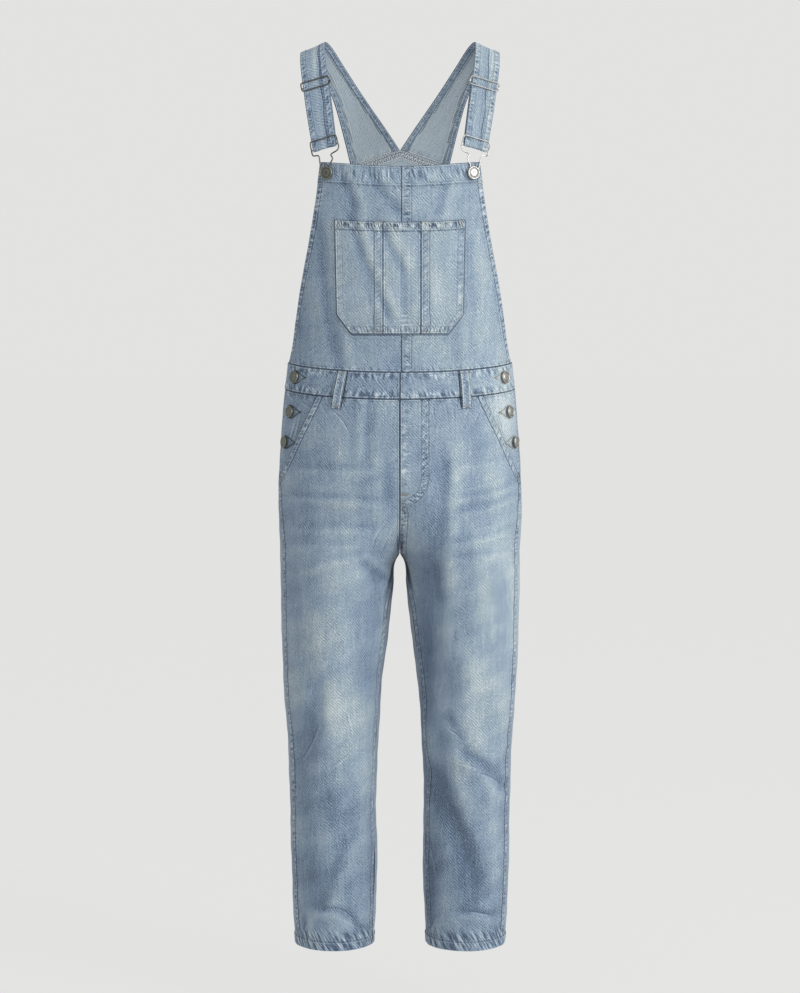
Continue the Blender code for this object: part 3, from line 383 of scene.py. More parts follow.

# Small sharp folds of the front or the back, each a line bowed sideways in its middle. As it runs, in
# x and z as seen from the front, its pale crest is on the right and its dark foot on the left: a painted
# highlight on the crest, towards the lamp, and painted shade at the foot.
Fold = namedtuple("Fold", "face x0 z0 x1 z1 bow strength")
FOLDS = table(Fold, (
    (-1003, -5405, -740, -5749, 37, 7000), (-1164, -5300, -1061, -5494, 0, 5000),
    (-1207, -5569, -1127, -5704, 0, 5000), (-1237, -5539, -1228, -5794, 0, 4000),
    (-857, -5225, -762, -5435, -15, 4500), (-1675, -5150, -1572, -5270, 0, 5000),
    (-1456, -5292, -1295, -5390, 0, 5500), (-1463, -5480, -1587, -5929, 0, 6000),
    (-1517, -5480, -1641, -5929, 0, 6000), (1026, -5300, 924, -5554, 15, 4000),
    (1172, -5390, 1085, -5614, 0, 4000), (764, -5300, 807, -5599, 0, 3500),
    (-215, -5270, -185, -5480, 0, 3500), (-404, -5285, -375, -5524, 0, 3500),
    (143, -5270, 136, -5405, 0, 3000), (472, -5270, 501, -5539, 0, 3500),
    (661, -5300, 705, -5599, 0, 3500), (-623, -5300, -580, -5539, 0, 3000),
    (48, -5465, 165, -5457, 0, 4000), (48, -5599, 180, -5607, 0, 4000),
    (48, -5734, 150, -5719, 0, 4500), (48, -5854, 180, -5854, 0, 3500),
    (48, -6018, 165, -6003, 0, 4000), (48, -6168, 180, -6176, 0, 3500),
    (48, -6333, 150, -6318, 0, 4000), (-200, -2665, -39, -2905, 22, 9000),
    (-317, -2725, -273, -2875, 0, 6000), (-550, -2695, -477, -2830, 15, 7000),
    (-726, -2695, -594, -2875, 22, 7000), (-142, -2718, 209, -2755, -15, 8000),
    (165, -2740, 326, -2950, 22, 7000), (457, -2695, 559, -2845, 15, 6000),
    (676, -2680, 749, -2800, 0, 5000), (4, -2845, 4, -4132, 0, 2800), (143, -2845, 143, -4132, 0, 2800),
    (-39, -4012, 180, -3997, 0, 5000), (-39, -4080, 194, -4065, 0, 5000),
    (-25, -4147, 194, -4132, 0, 5000), (-375, -2021, -302, -2171, 0, 4000),
    (-580, -2036, -521, -2186, 0, 3500), (-127, -2066, -10, -2231, 15, 5000),
    (-200, -2186, -25, -2321, 0, 3000), (369, -2066, 457, -2216, 0, 3500),
    (588, -2066, 530, -2246, 0, 3000), (-696, -4836, -755, -5015, 0, 4000),
    (-404, -4821, -288, -5030, 0, 4500), (-200, -4836, -112, -5015, 0, 4000),
    (-507, -5030, -609, -4851, 0, 4000), (296, -4851, 384, -5030, 0, 4000),
    (559, -5030, 486, -4866, 0, 3500), (676, -4851, 764, -5015, 0, 3500),
    (-1280, -4851, -1193, -5030, 0, 3000), (-1193, -4492, -1003, -4372, 0, 3500),
    (-1368, -4581, -1193, -4447, 0, 3500), (-799, -4521, -696, -4402, 0, 3000),
    (1026, -4521, 1202, -4402, 0, 3000), (764, -4432, 880, -4312, 0, 3000),
    (369, -4521, 486, -4417, 0, 2500), (-1456, -5944, -696, -5959, 15, 900),
    (-1383, -6063, -580, -6093, 15, 700), (-1310, -6692, -112, -6722, 30, 1000),
    (-1164, -6782, -200, -6812, 30, 700), (-1193, -7171, -404, -7201, 30, 800),
    (-1018, -7321, -215, -7351, 30, 700), (-799, -7471, -171, -7515, 15, 700),
    (-1514, -6258, -872, -6303, 15, 700), (-1456, -6497, -799, -6572, 30, 700),
    (705, -6123, 1523, -6048, -15, 900), (764, -6288, 1567, -6213, -15, 700),
    (676, -6542, 1610, -6378, -44, 900), (705, -6692, 1669, -6527, -44, 800),
    (734, -6827, 1669, -6662, -44, 900), (676, -7141, 1640, -7006, -30, 700),
    (647, -7336, 1581, -7231, -30, 700), (734, -7515, 1552, -7456, -15, 700),
    (34, -6917, 136, -6902, 0, 5000), (34, -7036, 136, -7021, 0, 5000),
    (34, -7156, 136, -7141, 0, 4500), (34, -7276, 136, -7261, 0, 4500),
    (34, -7396, 121, -7381, 0, 4000), (150, -6977, 472, -7456, 44, 900),
    (267, -6887, 588, -7276, 44, 800), (-200, -7036, -404, -7456, -44, 4000),
    (-112, -7186, -288, -7575, -30, 3500), (-1134, -12875, -726, -13024, 89, 4000),
    (-959, -12994, -580, -13234, 44, 2500), (-1456, -10629, -1193, -10030, -30, 5000),
    (-1018, -10704, -755, -10509, 0, 3500), (-696, -10255, -799, -9806, 0, 4000),
    (1026, -12905, 1348, -12994, 22, 6000), (705, -10120, 910, -10285, 15, 6000),
    (1056, -10779, 1494, -11018, 59, 4000), (822, -10629, 1172, -10749, 30, 4000),
    (588, -11078, 851, -11557, 30, 1500), (442, -11902, 559, -12426, 0, 4000),
    (-1456, -13294, -1397, -13114, 0, 5000), (472, -13264, 530, -13054, 0, 5000),
    (1348, -13294, 1289, -13114, 0, 4000),
), FRONT)
FOLDS += table(Fold, (
    (-799, -6288, -1456, -6497, 44, 2500), (-696, -6737, -1280, -6917, 44, 2300),
    (807, -6258, 1464, -6527, -44, 2500), (734, -6767, 1348, -6887, -44, 2300),
    (-69, -7036, -696, -7456, 59, 3000), (77, -7036, 734, -7426, -59, 3000),
    (-1456, -9581, -696, -9731, 59, 2500), (-1368, -9971, -638, -9911, -44, 2500),
    (676, -9821, 1464, -9641, -59, 2500), (618, -10060, 1377, -10180, 44, 2500),
    (-1310, -10629, -726, -10450, 0, 2000), (734, -10509, 1348, -10689, 0, 2000),
    (-404, -5300, -346, -5599, 0, 1700), (413, -5300, 355, -5599, 0, 1700),
    (-872, -5300, -784, -5539, 0, 1700), (910, -5300, 822, -5539, 0, 1700),
    (-1018, -12725, -696, -12965, 44, 2500), (764, -12845, 1260, -12755, 44, 2500),
    (-696, -4791, -755, -4521, 0, 1500), (764, -4761, 705, -4492, 0, 1500),
    (-215, -3743, -346, -3144, 30, 2000), (267, -3593, 355, -2994, -30, 1700),
), BACK)

# Sewn lines as they draw in the cloth: `start` and `reach` place the puckers beside one, `band` is
# the distance to the seam's other edge, `pitch`, `run` and `slant` are the puckers' own, `within` is
# the distance from an edge of the seam at which a line that isn't an edge runs, `edge` and `far` are
# how strongly the two edges show as dark grooves, partly painted shade, and `hand` is the side that
# is raised, or 0 if the line is an edge
Seam = namedtuple(
    "Seam", "line start reach pull band pitch run slant edge far hand within",
    defaults=(1.0, 1.0, 0.012, 0.25, 1.0, 0.35, 0, 0.0),
)
Thread = namedtuple("Thread", "name colour")
SLATE_THREAD = Thread("slate_thread", (0.36, 0.41, 0.46))
PALE_THREAD = Thread("pale_thread", (0.74, 0.78, 0.80))
DARK_THREAD = Thread("dark_thread", (0.045, 0.055, 0.065))
TAN_THREAD = Thread("tan_thread", (0.330, 0.305, 0.262))
BROWN_THREAD = Thread("brown_thread", (0.060, 0.050, 0.036))
STITCH_PITCH, STITCH_GAP = 0.0031, 0.0006
THREAD_RADIUS = 0.00032


def cubic(t):
    """Shares that two points and the slopes at them have in the cubic curve between them."""
    return 2 * t**3 - 3 * t**2 + 1, 3 * t**2 - 2 * t**3, t**3 - 2 * t**2 + t, t**3 - t**2


def smooth(at, rows, column):
    """Cubic curve through one column of a table, read at the heights `at`."""
    rising = sorted(rows)
    knots = np.array([row.z for row in rising])
    values = np.array([getattr(row, column) for row in rising])
    slopes = np.gradient(values, knots)
    k = np.clip(np.searchsorted(knots, at) - 1, 0, len(knots) - 2)
    span = knots[k + 1] - knots[k]
    low, high, low_slope, high_slope = cubic(np.clip((at - knots[k]) / span, 0.0, 1.0))
    rise = values[k + 1] * high + values[k] * low
    return rise + span * (slopes[k] * low_slope + slopes[k + 1] * high_slope)


def ease(t):
    """0 to 1 with level ends."""
    t = np.clip(t, 0.0, 1.0)
    return t * t * (3.0 - 2.0 * t)


def bell(value, centre, width):
    """1 where the value is `centre`, falling to nothing a few widths away."""
    return np.exp(-(((value - centre) / width) ** 2))


def unit(vectors, least=0.0):
    """Vectors brought to length 1, apart from those shorter than `least`."""
    return vectors / np.maximum(np.linalg.norm(vectors, axis=-1, keepdims=True), least)


def dense_ends(count, gather=0.6):
    """0 to 1 in steps that shorten towards both ends."""
    s = np.linspace(0.0, 1.0, count)
    return s - gather * np.sin(2 * math.pi * s) / (2 * math.pi)


def section(z):
    """Centre, half width, front depth and back depth of half the garment: an ellipse cut off at the
    centre plane, and a whole one below the fork."""
    half_width = smooth(z, FORM, "half_width")
    fork = np.clip((FORK_TOP_Z - z) / (FORK_TOP_Z - FORK_Z), 0.0, 1.0) ** 1.5
    inner = np.where(z > FORK_Z, -half_width * (1 - fork) / (1 + fork), smooth(z, FORM, "inner"))
    centre, radius = (half_width + inner) / 2, (half_width - inner) / 2
    return centre, radius, smooth(z, FORM, "front"), smooth(z, FORM, "back")


def centre_turn(z):
    """Turn at which the form meets the centre plane."""
    centre, radius, _, _ = section(z)
    return np.arccos(np.clip((CENTRE_GAP / 2 - centre) / radius, -1.0, 1.0))


def turn_at(x, z):
    """Turn, without its sign, of the trunk's form at a distance x from the centre."""
    centre, radius, _, _ = section(z)
    return np.arccos(np.clip((np.abs(x) - centre) / radius, -1.0, 1.0))


def off_line(line, x, z):
    """How far each point lies to the left of a bowed line from (x0, z0) to (x1, z1), where along the
    line, from 0 to 1, it is nearest, and how far it lies past the line's end."""
    run_x, run_z = line.x1 - line.x0, line.z1 - line.z0
    size = math.hypot(run_x, run_z)
    t = ((x - line.x0) * run_x + (z - line.z0) * run_z) / size**2
    near = np.clip(t, 0.0, 1.0)
    off = ((z - line.z0) * run_x - (x - line.x0) * run_z) / size
    return off - line.bow * 4 * near * (1 - near), near, (t - near) * size


def crease_lift(x, z, turn, sharpest=1.0):
    """Each crease is a trough across its line, with a width of its own on either side, and `crest` is
    its share that the cloth swells up on the right of it. It fades past its ends and where the cloth
    turns away. A slow wave keeps the cloth between from lying dead flat. Creases wider than
    `sharpest` count for less."""
    calm = 0.4 + 0.6 * ease((-0.53 - z) / 0.1)
    behind = np.clip(turn, 0.0, None)
    lift = 0.0007 * np.sin(x * 61.0 + z * 23.0 + 2.0 * turn)
    lift = lift * np.sin(z * 37.0 - x * 19.0 + 2.5 * behind)
    finer = np.sin(x * 113.0 - z * 71.0 - 4.0 * behind) * np.sin(z * 97.0 + x * 31.0 + 5.0 * behind)
    lift = calm * (lift + 0.0004 * finer)
    for crease in CREASES:
        off, _, past = off_line(crease, x, z)
        reach = np.where(off > 0, crease.left, crease.right)
        facing = ease(1.5 * np.clip(crease.face * np.sin(turn), 0.0, 1.0))
        swell = bell(off, 0.0, reach) - crease.crest * bell(off / crease.right, -1.9, 1.0)
        swell = swell * min(1.0, sharpest / (crease.left + crease.right))
        lift = lift - crease.depth * swell * bell(past, 0.0, crease.left + crease.right) * facing
    return lift


def cloth(side, turn, z, lift=0.0, creased=True):
    """Points of the garment's outer face, moved out by `lift` along the form's level normal."""
    centre, radius, front, back = section(z)
    depth = np.where(np.sin(turn) < 0, front, back)
    x, y = centre + radius * np.cos(turn), depth * np.sin(turn)
    out_x, out_y = np.cos(turn) / radius, np.sin(turn) / depth
    size = np.hypot(out_x, out_y)
    lift = lift + (crease_lift(side * x, z, turn) if creased else 0.0)
    x = np.maximum(x + lift * out_x / size, CENTRE_GAP / 2)
    return np.stack([side * x, y + lift * out_y / size, z + 0.0 * x], -1)


def band_z(turn, below_top):
    """Height of a line at a distance under the waistband's top edge, which dips in front."""
    return BAND_TOP_Z - below_top - FRONT_DIP * np.clip(-np.sin(turn), 0.0, 1.0) ** 1.3


def wrong_side(piece):
    """The same cloth seen from its other face."""
    return Piece(piece.inner, piece.outer, -piece.out, piece.flat)


def hung(level, turn):
    """Heights of points that stand level at the fork and follow the waistband's dip above it."""
    slack = ease((level - FORK_TOP_Z) / (BAND_TOP_Z - BAND_HEIGHT - FORK_TOP_Z))
    return level + slack * (band_z(turn, 0.0) - BAND_TOP_Z)


def run_length(points, axis):
    """Distance travelled over a grid of points along one of its axes, from 0."""
    step = np.linalg.norm(np.diff(points, axis=axis), axis=-1)
    first = np.zeros_like(np.take(step, [0], axis=axis))
    return np.cumsum(np.concatenate([first, step], axis=axis), axis=axis)


def read_along(points, gone, at):
    """Points of a line read at distances along it, `gone` being how far each of its own points is."""
    return np.stack([np.interp(at, gone, column) for column in points.T], -1)


def face_out(outer, inner):
    """Unit direction out of the cloth at each point of a grid."""
    out = np.cross(np.gradient(outer, axis=0), np.gradient(outer, axis=1))
    return unit(out * np.sign(np.sum(out * (outer - inner), -1, keepdims=True)), 1e-12)


# A piece of cloth as grids: its outer and inner faces, the direction out, and its place laid flat
Piece = namedtuple("Piece", "outer inner out flat")


def lay(outer, inner, grain=0.0, upright=True, form=None, plumb=None):
    """A piece and its flat place: distance along each row from the grain line, growing to the right
    as seen from outside, and the height, or for a strap the distance up it. It is measured on the
    uncreased `form` where there is one. The grain line is a column, or hangs `plumb` from the centre."""
    form = outer if form is None else form
    along_row = run_length(form, 1)
    column = np.full((len(outer), 1), int(round(grain * (outer.shape[1] - 1))))
    short = 0.0
    if plumb is not None:
        column = np.argmin(np.abs(np.abs(form[..., 0]) - plumb), axis=1)[:, None]
        short = np.abs(np.take_along_axis(form[..., 0], column, 1)) - plumb
    along_row = along_row - np.take_along_axis(along_row, column, 1) - short
    out = face_out(outer, inner)
    up = np.array([0.0, 0.0, 1.0]) if upright else -np.gradient(outer, axis=0)
    rightward = np.sign(np.sum(np.cross(up, out) * np.gradient(outer, axis=1)))
    height = outer[..., 2] if upright else -run_length(outer, 0)
    return Piece(outer, inner, out, np.stack([along_row * rightward, height], -1))


def wall(side, turn, z, lift, inner=-DENIM, grain=0.0, plumb=None):
    """One layer of cloth on the form between two lifts, measured on the uncreased form."""
    outer, within = (cloth(side, turn, z, rise) for rise in (lift, inner))
    return lay(outer, within, grain, form=cloth(side, turn, z, creased=False), plumb=plumb)


def trace(grid, line):
    """Values of a grid along a line of fractional rows and columns."""
    row, column = line
    r = np.clip(row.astype(int), 0, grid.shape[0] - 2)
    c = np.clip(column.astype(int), 0, grid.shape[1] - 2)
    down, over = (row - r)[:, None], (column - c)[:, None]
    upper = grid[r, c] * (1 - over) + grid[r, c + 1] * over
    lower = grid[r + 1, c] * (1 - over) + grid[r + 1, c + 1] * over
    return upper * (1 - down) + lower * down


def line_down(piece, distance, start=0.0, end=1.0, count=160):
    """Line down the rows, over a share of them, a distance from the first column, or below zero from
    the last one, on which LAST lies."""
    gone = run_length(piece.outer, 1)
    columns = np.arange(gone.shape[1])
    wanted = distance + (gone[:, -1] if distance < 0 else 0.0 * gone[:, -1])
    place = np.array([np.interp(at, row, columns) for at, row in zip(wanted, gone)])
    rows = np.linspace(start, end, count) * (len(gone) - 1)
    return rows, np.interp(rows, np.arange(len(gone)), place)


def line_across(piece, distance, start=0.0, end=1.0, count=160):
    """Line along the columns, a distance from the first row, or below zero from the last one."""
    swapped = Piece(*(grid.transpose(1, 0, 2) for grid in piece))
    column, row = line_down(swapped, distance, start, end, count)
    return row, column


def nearest_seam(flat, seams):
    """Place in the puckers of the seam that pulls most at each point, its pull, how far inside the
    nearest sewn edge the point lies, and how strongly that edge shows."""
    along_most, beside_most, most, shown = (np.zeros(flat.shape[:-1]) for _ in range(4))
    inside, least = np.full(flat.shape[:-1], NOT_NEAR), np.full(flat.shape[:-1], SEAM_NEAR)
    for number, seam in enumerate(seams):
        line = np.asarray(seam.line)
        line = line[:: max(1, len(line) // 60)] if len(line) > 80 else line
        start, run = line[:-1], np.diff(line, axis=0)
        size = np.linalg.norm(run, axis=1)
        before = np.concatenate([[0.0], np.cumsum(size)[:-1]]) + 3.1 * number
        nearest, hand, along = (np.full(flat.shape[:-1], value) for value in (9.0, 1.0, 0.0))
        for k in range(len(start)):
            t = np.clip((flat - start[k]) @ run[k] / max(size[k] ** 2, 1e-12), 0.0, 1.0)
            gap = flat - start[k] - t[..., None] * run[k]
            turned = run[k][0] * gap[..., 1] - run[k][1] * gap[..., 0]
            gap = np.linalg.norm(gap, axis=-1)
            closer = gap < nearest
            nearest = np.where(closer, gap, nearest)
            hand = np.where(closer, np.where(turned < 0, -1.0, 1.0), hand)
            along = np.where(closer, before[k] + t * size[k], along)
        signed = nearest * hand
        beside = signed if seam.within == 0.0 else nearest + seam.within
        pull = seam.pull * bell(np.abs(beside), seam.start, seam.reach)
        place = ((along + seam.slant * signed) / seam.pitch, signed * PUCKER_RUN / seam.run, pull)
        stronger = pull > most
        for kept, new in zip((along_most, beside_most, most), place):
            kept[...] = np.where(stronger, new, kept)
        from_line = beside * seam.hand if seam.hand else np.abs(beside)
        for gap, strength in ((from_line, seam.edge), (seam.band - np.abs(beside), seam.far)):
            closer = (np.abs(gap) < least) & (strength > 0.0)
            inside, least = np.where(closer, gap, inside), np.where(closer, np.abs(gap), least)
            shown = np.where(closer, strength, shown)
    return along_most, beside_most, most, inside, shown


def nearest_fold(outer, turn):
    """Distance across the nearest small fold, above zero on its crest's side, and its strength,
    which fades towards both ends."""
    x, _, z = np.moveaxis(outer, -1, 0)
    place, shown, least = np.full(x.shape, NOT_NEAR), np.zeros(x.shape), np.full(x.shape, FOLD_NEAR)
    for fold in FOLDS:
        off, near, past = off_line(fold, x, z)
        gap = np.hypot(off, past)
        closer = (gap < least) & (fold.face * np.sin(turn) > 0.0)
        place, least = np.where(closer, -off, place), np.where(closer, gap, least)
        shown = np.where(closer, fold.strength * np.sqrt(4 * near * (1 - near)), shown)
    return np.stack([place, shown], -1)


def wear_and_painted_light_at(outer, turn):
    """How far each point has faded: the plain wash, each oval, of which some are painted light, and
    creases, which keep their colour in the trough and lose it on the crest."""
    x, _, z = np.moveaxis(outer, -1, 0)
    rubbed = CREASE_WEAR * (1.0 - 0.4 * ease(np.sin(turn)))
    wear = PLAIN_WEAR + rubbed * np.tanh(crease_lift(x, z, turn, 0.012) / 0.0016)
    for tone_oval in FADES_AND_PAINTED_LIGHT:
        across = (x - tone_oval.x - tone_oval.lean * (z - tone_oval.z)) / tone_oval.half_width
        oval = np.exp(-(across**2) - ((z - tone_oval.z) / tone_oval.half_height) ** 2)
        facing = tone_oval.face * np.sin(turn)
        shown = 0.5 + 2.0 * facing if tone_oval.face == FRONT else 1.4 * facing - 0.2
        wear = wear + tone_oval.amount * oval * ease(shown)
    return wear


def put_in_scene(name, points, faces, materials, choice=None, layers=(), values=(), crisp=40.0):
    """Make a mesh from arrays, outside out, and let it ride on the garment. `layers` are UV maps given
    for each point, `values` are numbers given for each point."""
    points, faces = np.asarray(points, float), np.asarray(faces)
    corner = points[faces]
    volume = np.einsum("ij,ij->i", corner[:, 0], np.cross(corner[:, 1], corner[:, 2])).sum()
    volume += np.einsum("ij,ij->i", corner[:, 0], np.cross(corner[:, 2], corner[:, 3])).sum()
    if volume < 0:
        faces = faces[:, ::-1]
    mesh = bpy.data.meshes.new(name)
    mesh.vertices.add(len(points))
    mesh.vertices.foreach_set("co", points.ravel())
    mesh.loops.add(faces.size)
    mesh.loops.foreach_set("vertex_index", faces.ravel())
    mesh.polygons.add(len(faces))
    mesh.polygons.foreach_set("loop_start", np.arange(0, faces.size, 4))
    mesh.update(calc_edges=True)
    for material in materials:
        mesh.materials.append(material)
    if choice is not None:
        mesh.polygons.foreach_set("material_index", choice)
    for title, flat in dict(layers).items():
        mesh.uv_layers.new(name=title).data.foreach_set("uv", flat.reshape(-1, 2)[faces.ravel()].ravel())
    for title, numbers in dict(values).items():
        mesh.attributes.new(title, "FLOAT", "POINT").data.foreach_set("value", numbers.ravel())
    mesh.shade_smooth()
    mesh.set_sharp_from_angle(angle=math.radians(crisp))
    made = bpy.data.objects.new(name, mesh)
    bpy.context.scene.collection.objects.link(made)
    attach(made, "root")
    return made


def grid_faces(rows, columns, first=0):
    """Quads between neighbouring points of a grid."""
    corner = first + np.arange(rows - 1)[:, None] * columns + np.arange(columns - 1)
    return np.stack([corner, corner + 1, corner + columns + 1, corner + columns], -1).reshape(-1, 4)


def tube_faces(here, there, around, shift=0):
    """Quads between the rings numbered `here` and `there`, the second turned on by `shift` points."""
    across = np.arange(around)
    after = (across + 1) % around
    return np.stack([
        here * around + across, here * around + after,
        there * around + (after + shift) % around, there * around + (across + shift) % around,
    ], -1).reshape(-1, 4)


def shell(name, piece, turn, seams, wear, turned_in=None, outside_edges=1.0):
    """Cloth piece: its two grids joined round their rim. It stands for its solid, which it hides. Where it
    is `turned_in`, as in a hem, its inside shows the right side of the cloth."""
    rows, columns = piece.outer.shape[:2]
    count = rows * columns
    faces = grid_faces(rows, columns)
    rim = np.concatenate([
        np.arange(columns), np.arange(2, rows + 1) * columns - 1,
        np.arange(count - 2, count - columns - 1, -1), np.arange(rows - 2, -1, -1) * columns,
    ])
    around = np.stack([rim[:-1], rim[1:], rim[1:] + count, rim[:-1] + count], -1)
    every = np.concatenate([faces, faces[:, ::-1] + count, around[:, ::-1]])
    inner = np.ones((rows - 1, columns - 1)) if turned_in is None else 1.0 - turned_in[:-1, :-1]
    choice = np.concatenate([np.zeros(len(faces)), inner.ravel(), np.zeros(len(around))])
    along, beside, pull, inside, shown = nearest_seam(piece.flat, seams)
    folds = nearest_fold(piece.outer, turn)
    seam, edge = np.stack([along, beside], -1), np.stack([inside, shown], -1)
    both = (("cloth", piece.flat), ("seam", seam), ("edge", edge))
    layers = {title: np.stack([flat, flat]) for title, flat in both}
    layers["edge"][0, ..., 1] *= outside_edges
    layers["fold"] = np.stack([folds, 0.0 * folds])
    values = {"wear": np.stack([wear, 0.0 * wear + PLAIN_WEAR]), "pull": np.stack([pull, pull * 0.6])}
    points = np.concatenate([piece.outer.reshape(-1, 3), piece.inner.reshape(-1, 3)])
    paints = [DENIM_FACE, DENIM_BACK]
    made = put_in_scene(f"{name}_cloth", points, every, paints, choice.astype(int), layers, values)
    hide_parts(name)
    corner = piece.outer
    diagonals = np.cross(corner[1:, 1:] - corner[:-1, :-1], corner[1:, :-1] - corner[:-1, 1:])
    return made


def threads(name, ends, thread, radius=THREAD_RADIUS):
    """Joined mesh of short threads. Each runs from one point to another over the cloth, a four-sided
    tube of three rings that is thin and sunk at its ends and full in its middle."""
    if thread.name not in bpy.data.materials:
        made, shader, start = finish(thread.name, 0.75)
        shader.inputs["Base Color"].default_value = (*thread.colour, 1.0)
        shader.inputs["Specular IOR Level"].default_value = 0.3
    first, last, outward = (np.concatenate(part) for part in zip(*ends))
    sideways = unit(np.cross(unit(last - first, 1e-9), outward), 1e-9)
    rings = []
    for share, rise, width in ((0.0, -0.4, 0.55), (0.5, 0.7, 1.0), (1.0, -0.4, 0.55)):
        middle = first + (last - first) * share + outward * rise * radius
        for angle in np.radians([45, 135, 225, 315]):
            reach = radius * width
            rings.append(middle + reach * (math.cos(angle) * sideways + math.sin(angle) * outward))
    points = np.stack(rings, 1)
    lower = np.arange(2)[:, None]
    sides = np.vstack([tube_faces(lower, lower + 1, 4), [(3, 2, 1, 0), (8, 9, 10, 11)]])
    faces = (np.arange(len(first))[:, None, None] * 12 + sides).reshape(-1, 4)
    made = put_in_scene(name, points.reshape(-1, 3), faces, [bpy.data.materials[thread.name]], crisp=180.0)
    return made


def stitches(points, outward, pitch=STITCH_PITCH):
    """Ends of a row of lockstitches along a line of points."""
    travelled = run_length(points, 0)
    count = max(1, int(travelled[-1] / pitch))
    starts = (np.arange(count) + 0.1) * travelled[-1] / count
    stops = starts + travelled[-1] / count - STITCH_GAP
    first, last = (read_along(points, travelled, at) for at in (starts, stops))
    return first, last, unit(read_along(outward, travelled, (starts + stops) / 2))


def side_gap(z):
    """Half a seam gap as a turn at the side seam."""
    return SEAM_GAP / 2 / smooth(z, FORM, "front")


def on_line(piece, line):
    """Points of a line on a piece, and the way out of the cloth at each."""
    return trace(piece.outer, line), trace(piece.out, line)


def sew(piece, line, pitch=STITCH_PITCH):
    """Ends of a row of stitches along a line on a piece."""
    return stitches(*on_line(piece, line), pitch)


def sew_rows(kept, piece, along, distances, *span):
    """Keep the stitches of rows at some distances, `along` being line_down or line_across."""
    kept.extend(sew(piece, along(piece, distance, *span)) for distance in distances)


def flat_seam(piece, line, start, reach, pull, *rest, **named):
    """The seam that a line on a piece makes in its cloth."""
    return Seam(trace(piece.flat, line), start, reach, pull, *rest, **named)


def seam_down(piece, distance, *shape, **named):
    """A seam down the whole piece, at a distance as for line_down."""
    return flat_seam(piece, line_down(piece, distance), *shape, **named)


def seam_across(piece, distance, *shape, **named):
    """A seam along the whole piece, at a distance as for line_across."""
    return flat_seam(piece, line_across(piece, distance), *shape, **named)


def leg_rows():
    """Heights of a leg's rows, evenly down it with two close ones at the hem's upper edge."""
    top, hem = BAND_TOP_Z - BAND_HEIGHT - SEAM_GAP, HEM_Z + HEM_HEIGHT
    return np.concatenate([np.linspace(top, hem + 0.0006, 230), np.linspace(hem, HEM_Z, 8)])[:, None]


def side_turn(z):
    """Turn of the side seam: at the side over the hip, and further forward down the leg."""
    settled = ease((SLANT_FOOT.z - z) / LEG_SEAM_SETTLE)
    return np.radians(SIDE_SEAM_TURN + settled * (LEG_SEAM_TURN - SIDE_SEAM_TURN))


def slant_turn(z):
    """Turn of the hip pocket's slanted edge, and of the side seam below its foot."""
    t = (z - SLANT_TOP.z) / (SLANT_FOOT.z - SLANT_TOP.z)
    x = SLANT_TOP.half_width + t * (SLANT_FOOT.half_width - SLANT_TOP.half_width)
    seam = side_turn(z)
    return np.where(t >= 1.0, seam, np.minimum(-turn_at(x, z), seam))


def inner_turn(z):
    """Turn of the centre seam above the fork and of the inseam below it."""
    settled = ease((FORK_Z - z) / INSEAM_SETTLE)
    inseam = math.pi - settled * math.radians(180 + INSEAM_TURN)
    return np.where(z > FORK_Z, centre_turn(z), inseam)


def strip(distance, width, height):
    """Rise of a felled strip beside an edge: level, with a short slope at its far side."""
    return height * ease((width - distance) / FELL_SLOPE + 0.5)


def leg_grid(side, start, end):
    """Turns and heights of a leg piece's points, and how far they are from its side and its inside."""
    turn = start + leg_columns * (end - start)
    z = hung(leg_z, turn)
    from_side = run_length(cloth(side, turn, z), 1)
    return turn, z, from_side, from_side[:, -1:] - from_side


def hem_seam(piece, side):
    """The leg hem's upper edge, drawn into slanting puckers."""
    line = line_across(piece, -HEM_HEIGHT)
    return flat_seam(piece, line, 0.0040, 0.0105, 1.25, 1.0, 1.15, 0.024, 0.60, edge=0.30, hand=side)


def bars(points, out, pitch, depth):
    """Ends of close stitches that cross a path of points, leaning a little each way in turn."""
    travelled = run_length(points, 0)
    at = np.arange(pitch / 2, travelled[-1], pitch)
    place, facing = (read_along(values, travelled, at) for values in (points, out))
    facing, ahead = unit(facing), unit(np.gradient(place, axis=0))
    across = np.cross(facing, ahead)
    lean = np.where(np.arange(len(at)) % 2, 1.0, -1.0)[:, None] * pitch * 0.35
    first = place - across * depth / 2 - ahead * lean
    last = place + across * depth / 2 + ahead * lean
    return first, last, facing


def front_points(corners, lift, count=60):
    """Points on the cloth along straight runs between (x, z) corners on the front, and the way out."""
    corners = np.array(corners, float)
    gone = run_length(corners, 0)
    x, z = read_along(corners, gone, np.linspace(0.0, gone[-1], count)).T
    side = np.where(x < 0, -1.0, 1.0)
    points, raised = (cloth(side, -turn_at(x, z), z, lift + extra) for extra in (0.0, 0.001))
    return points, unit(raised - points)


def front_row(corners, lift):
    """Ends of a row of stitches between (x, z) corners on the front."""
    return stitches(*front_points(corners, lift))


def tack(corners, lift, pitch, depth):
    """Ends of a bartack's stitches between (x, z) corners on the front."""
    return bars(*front_points(corners, lift, 12), pitch, depth)


def shadow_line(piece, corners, hand, edge=0.9):
    """Painted shadow line that the edge of a piece sewn on top casts on the cloth under it, along
    straight runs between (x, z) corners. `hand` is 1 if the piece lies on the left of the line as it runs."""
    corners = np.array(corners, float)
    gone = run_length(corners, 0)
    wanted = read_along(corners, gone, np.linspace(0.0, gone[-1], 24 * len(corners)))
    there = piece.outer[..., [0, 2]].reshape(-1, 2)
    nearest = np.argmin(((there[None] - wanted[:, None]) ** 2).sum(-1), axis=1)
    line = piece.flat.reshape(-1, 2)[nearest] + wanted - there[nearest]
    return Seam(line, 0.0, 0.001, 0.0, edge=edge, hand=hand)


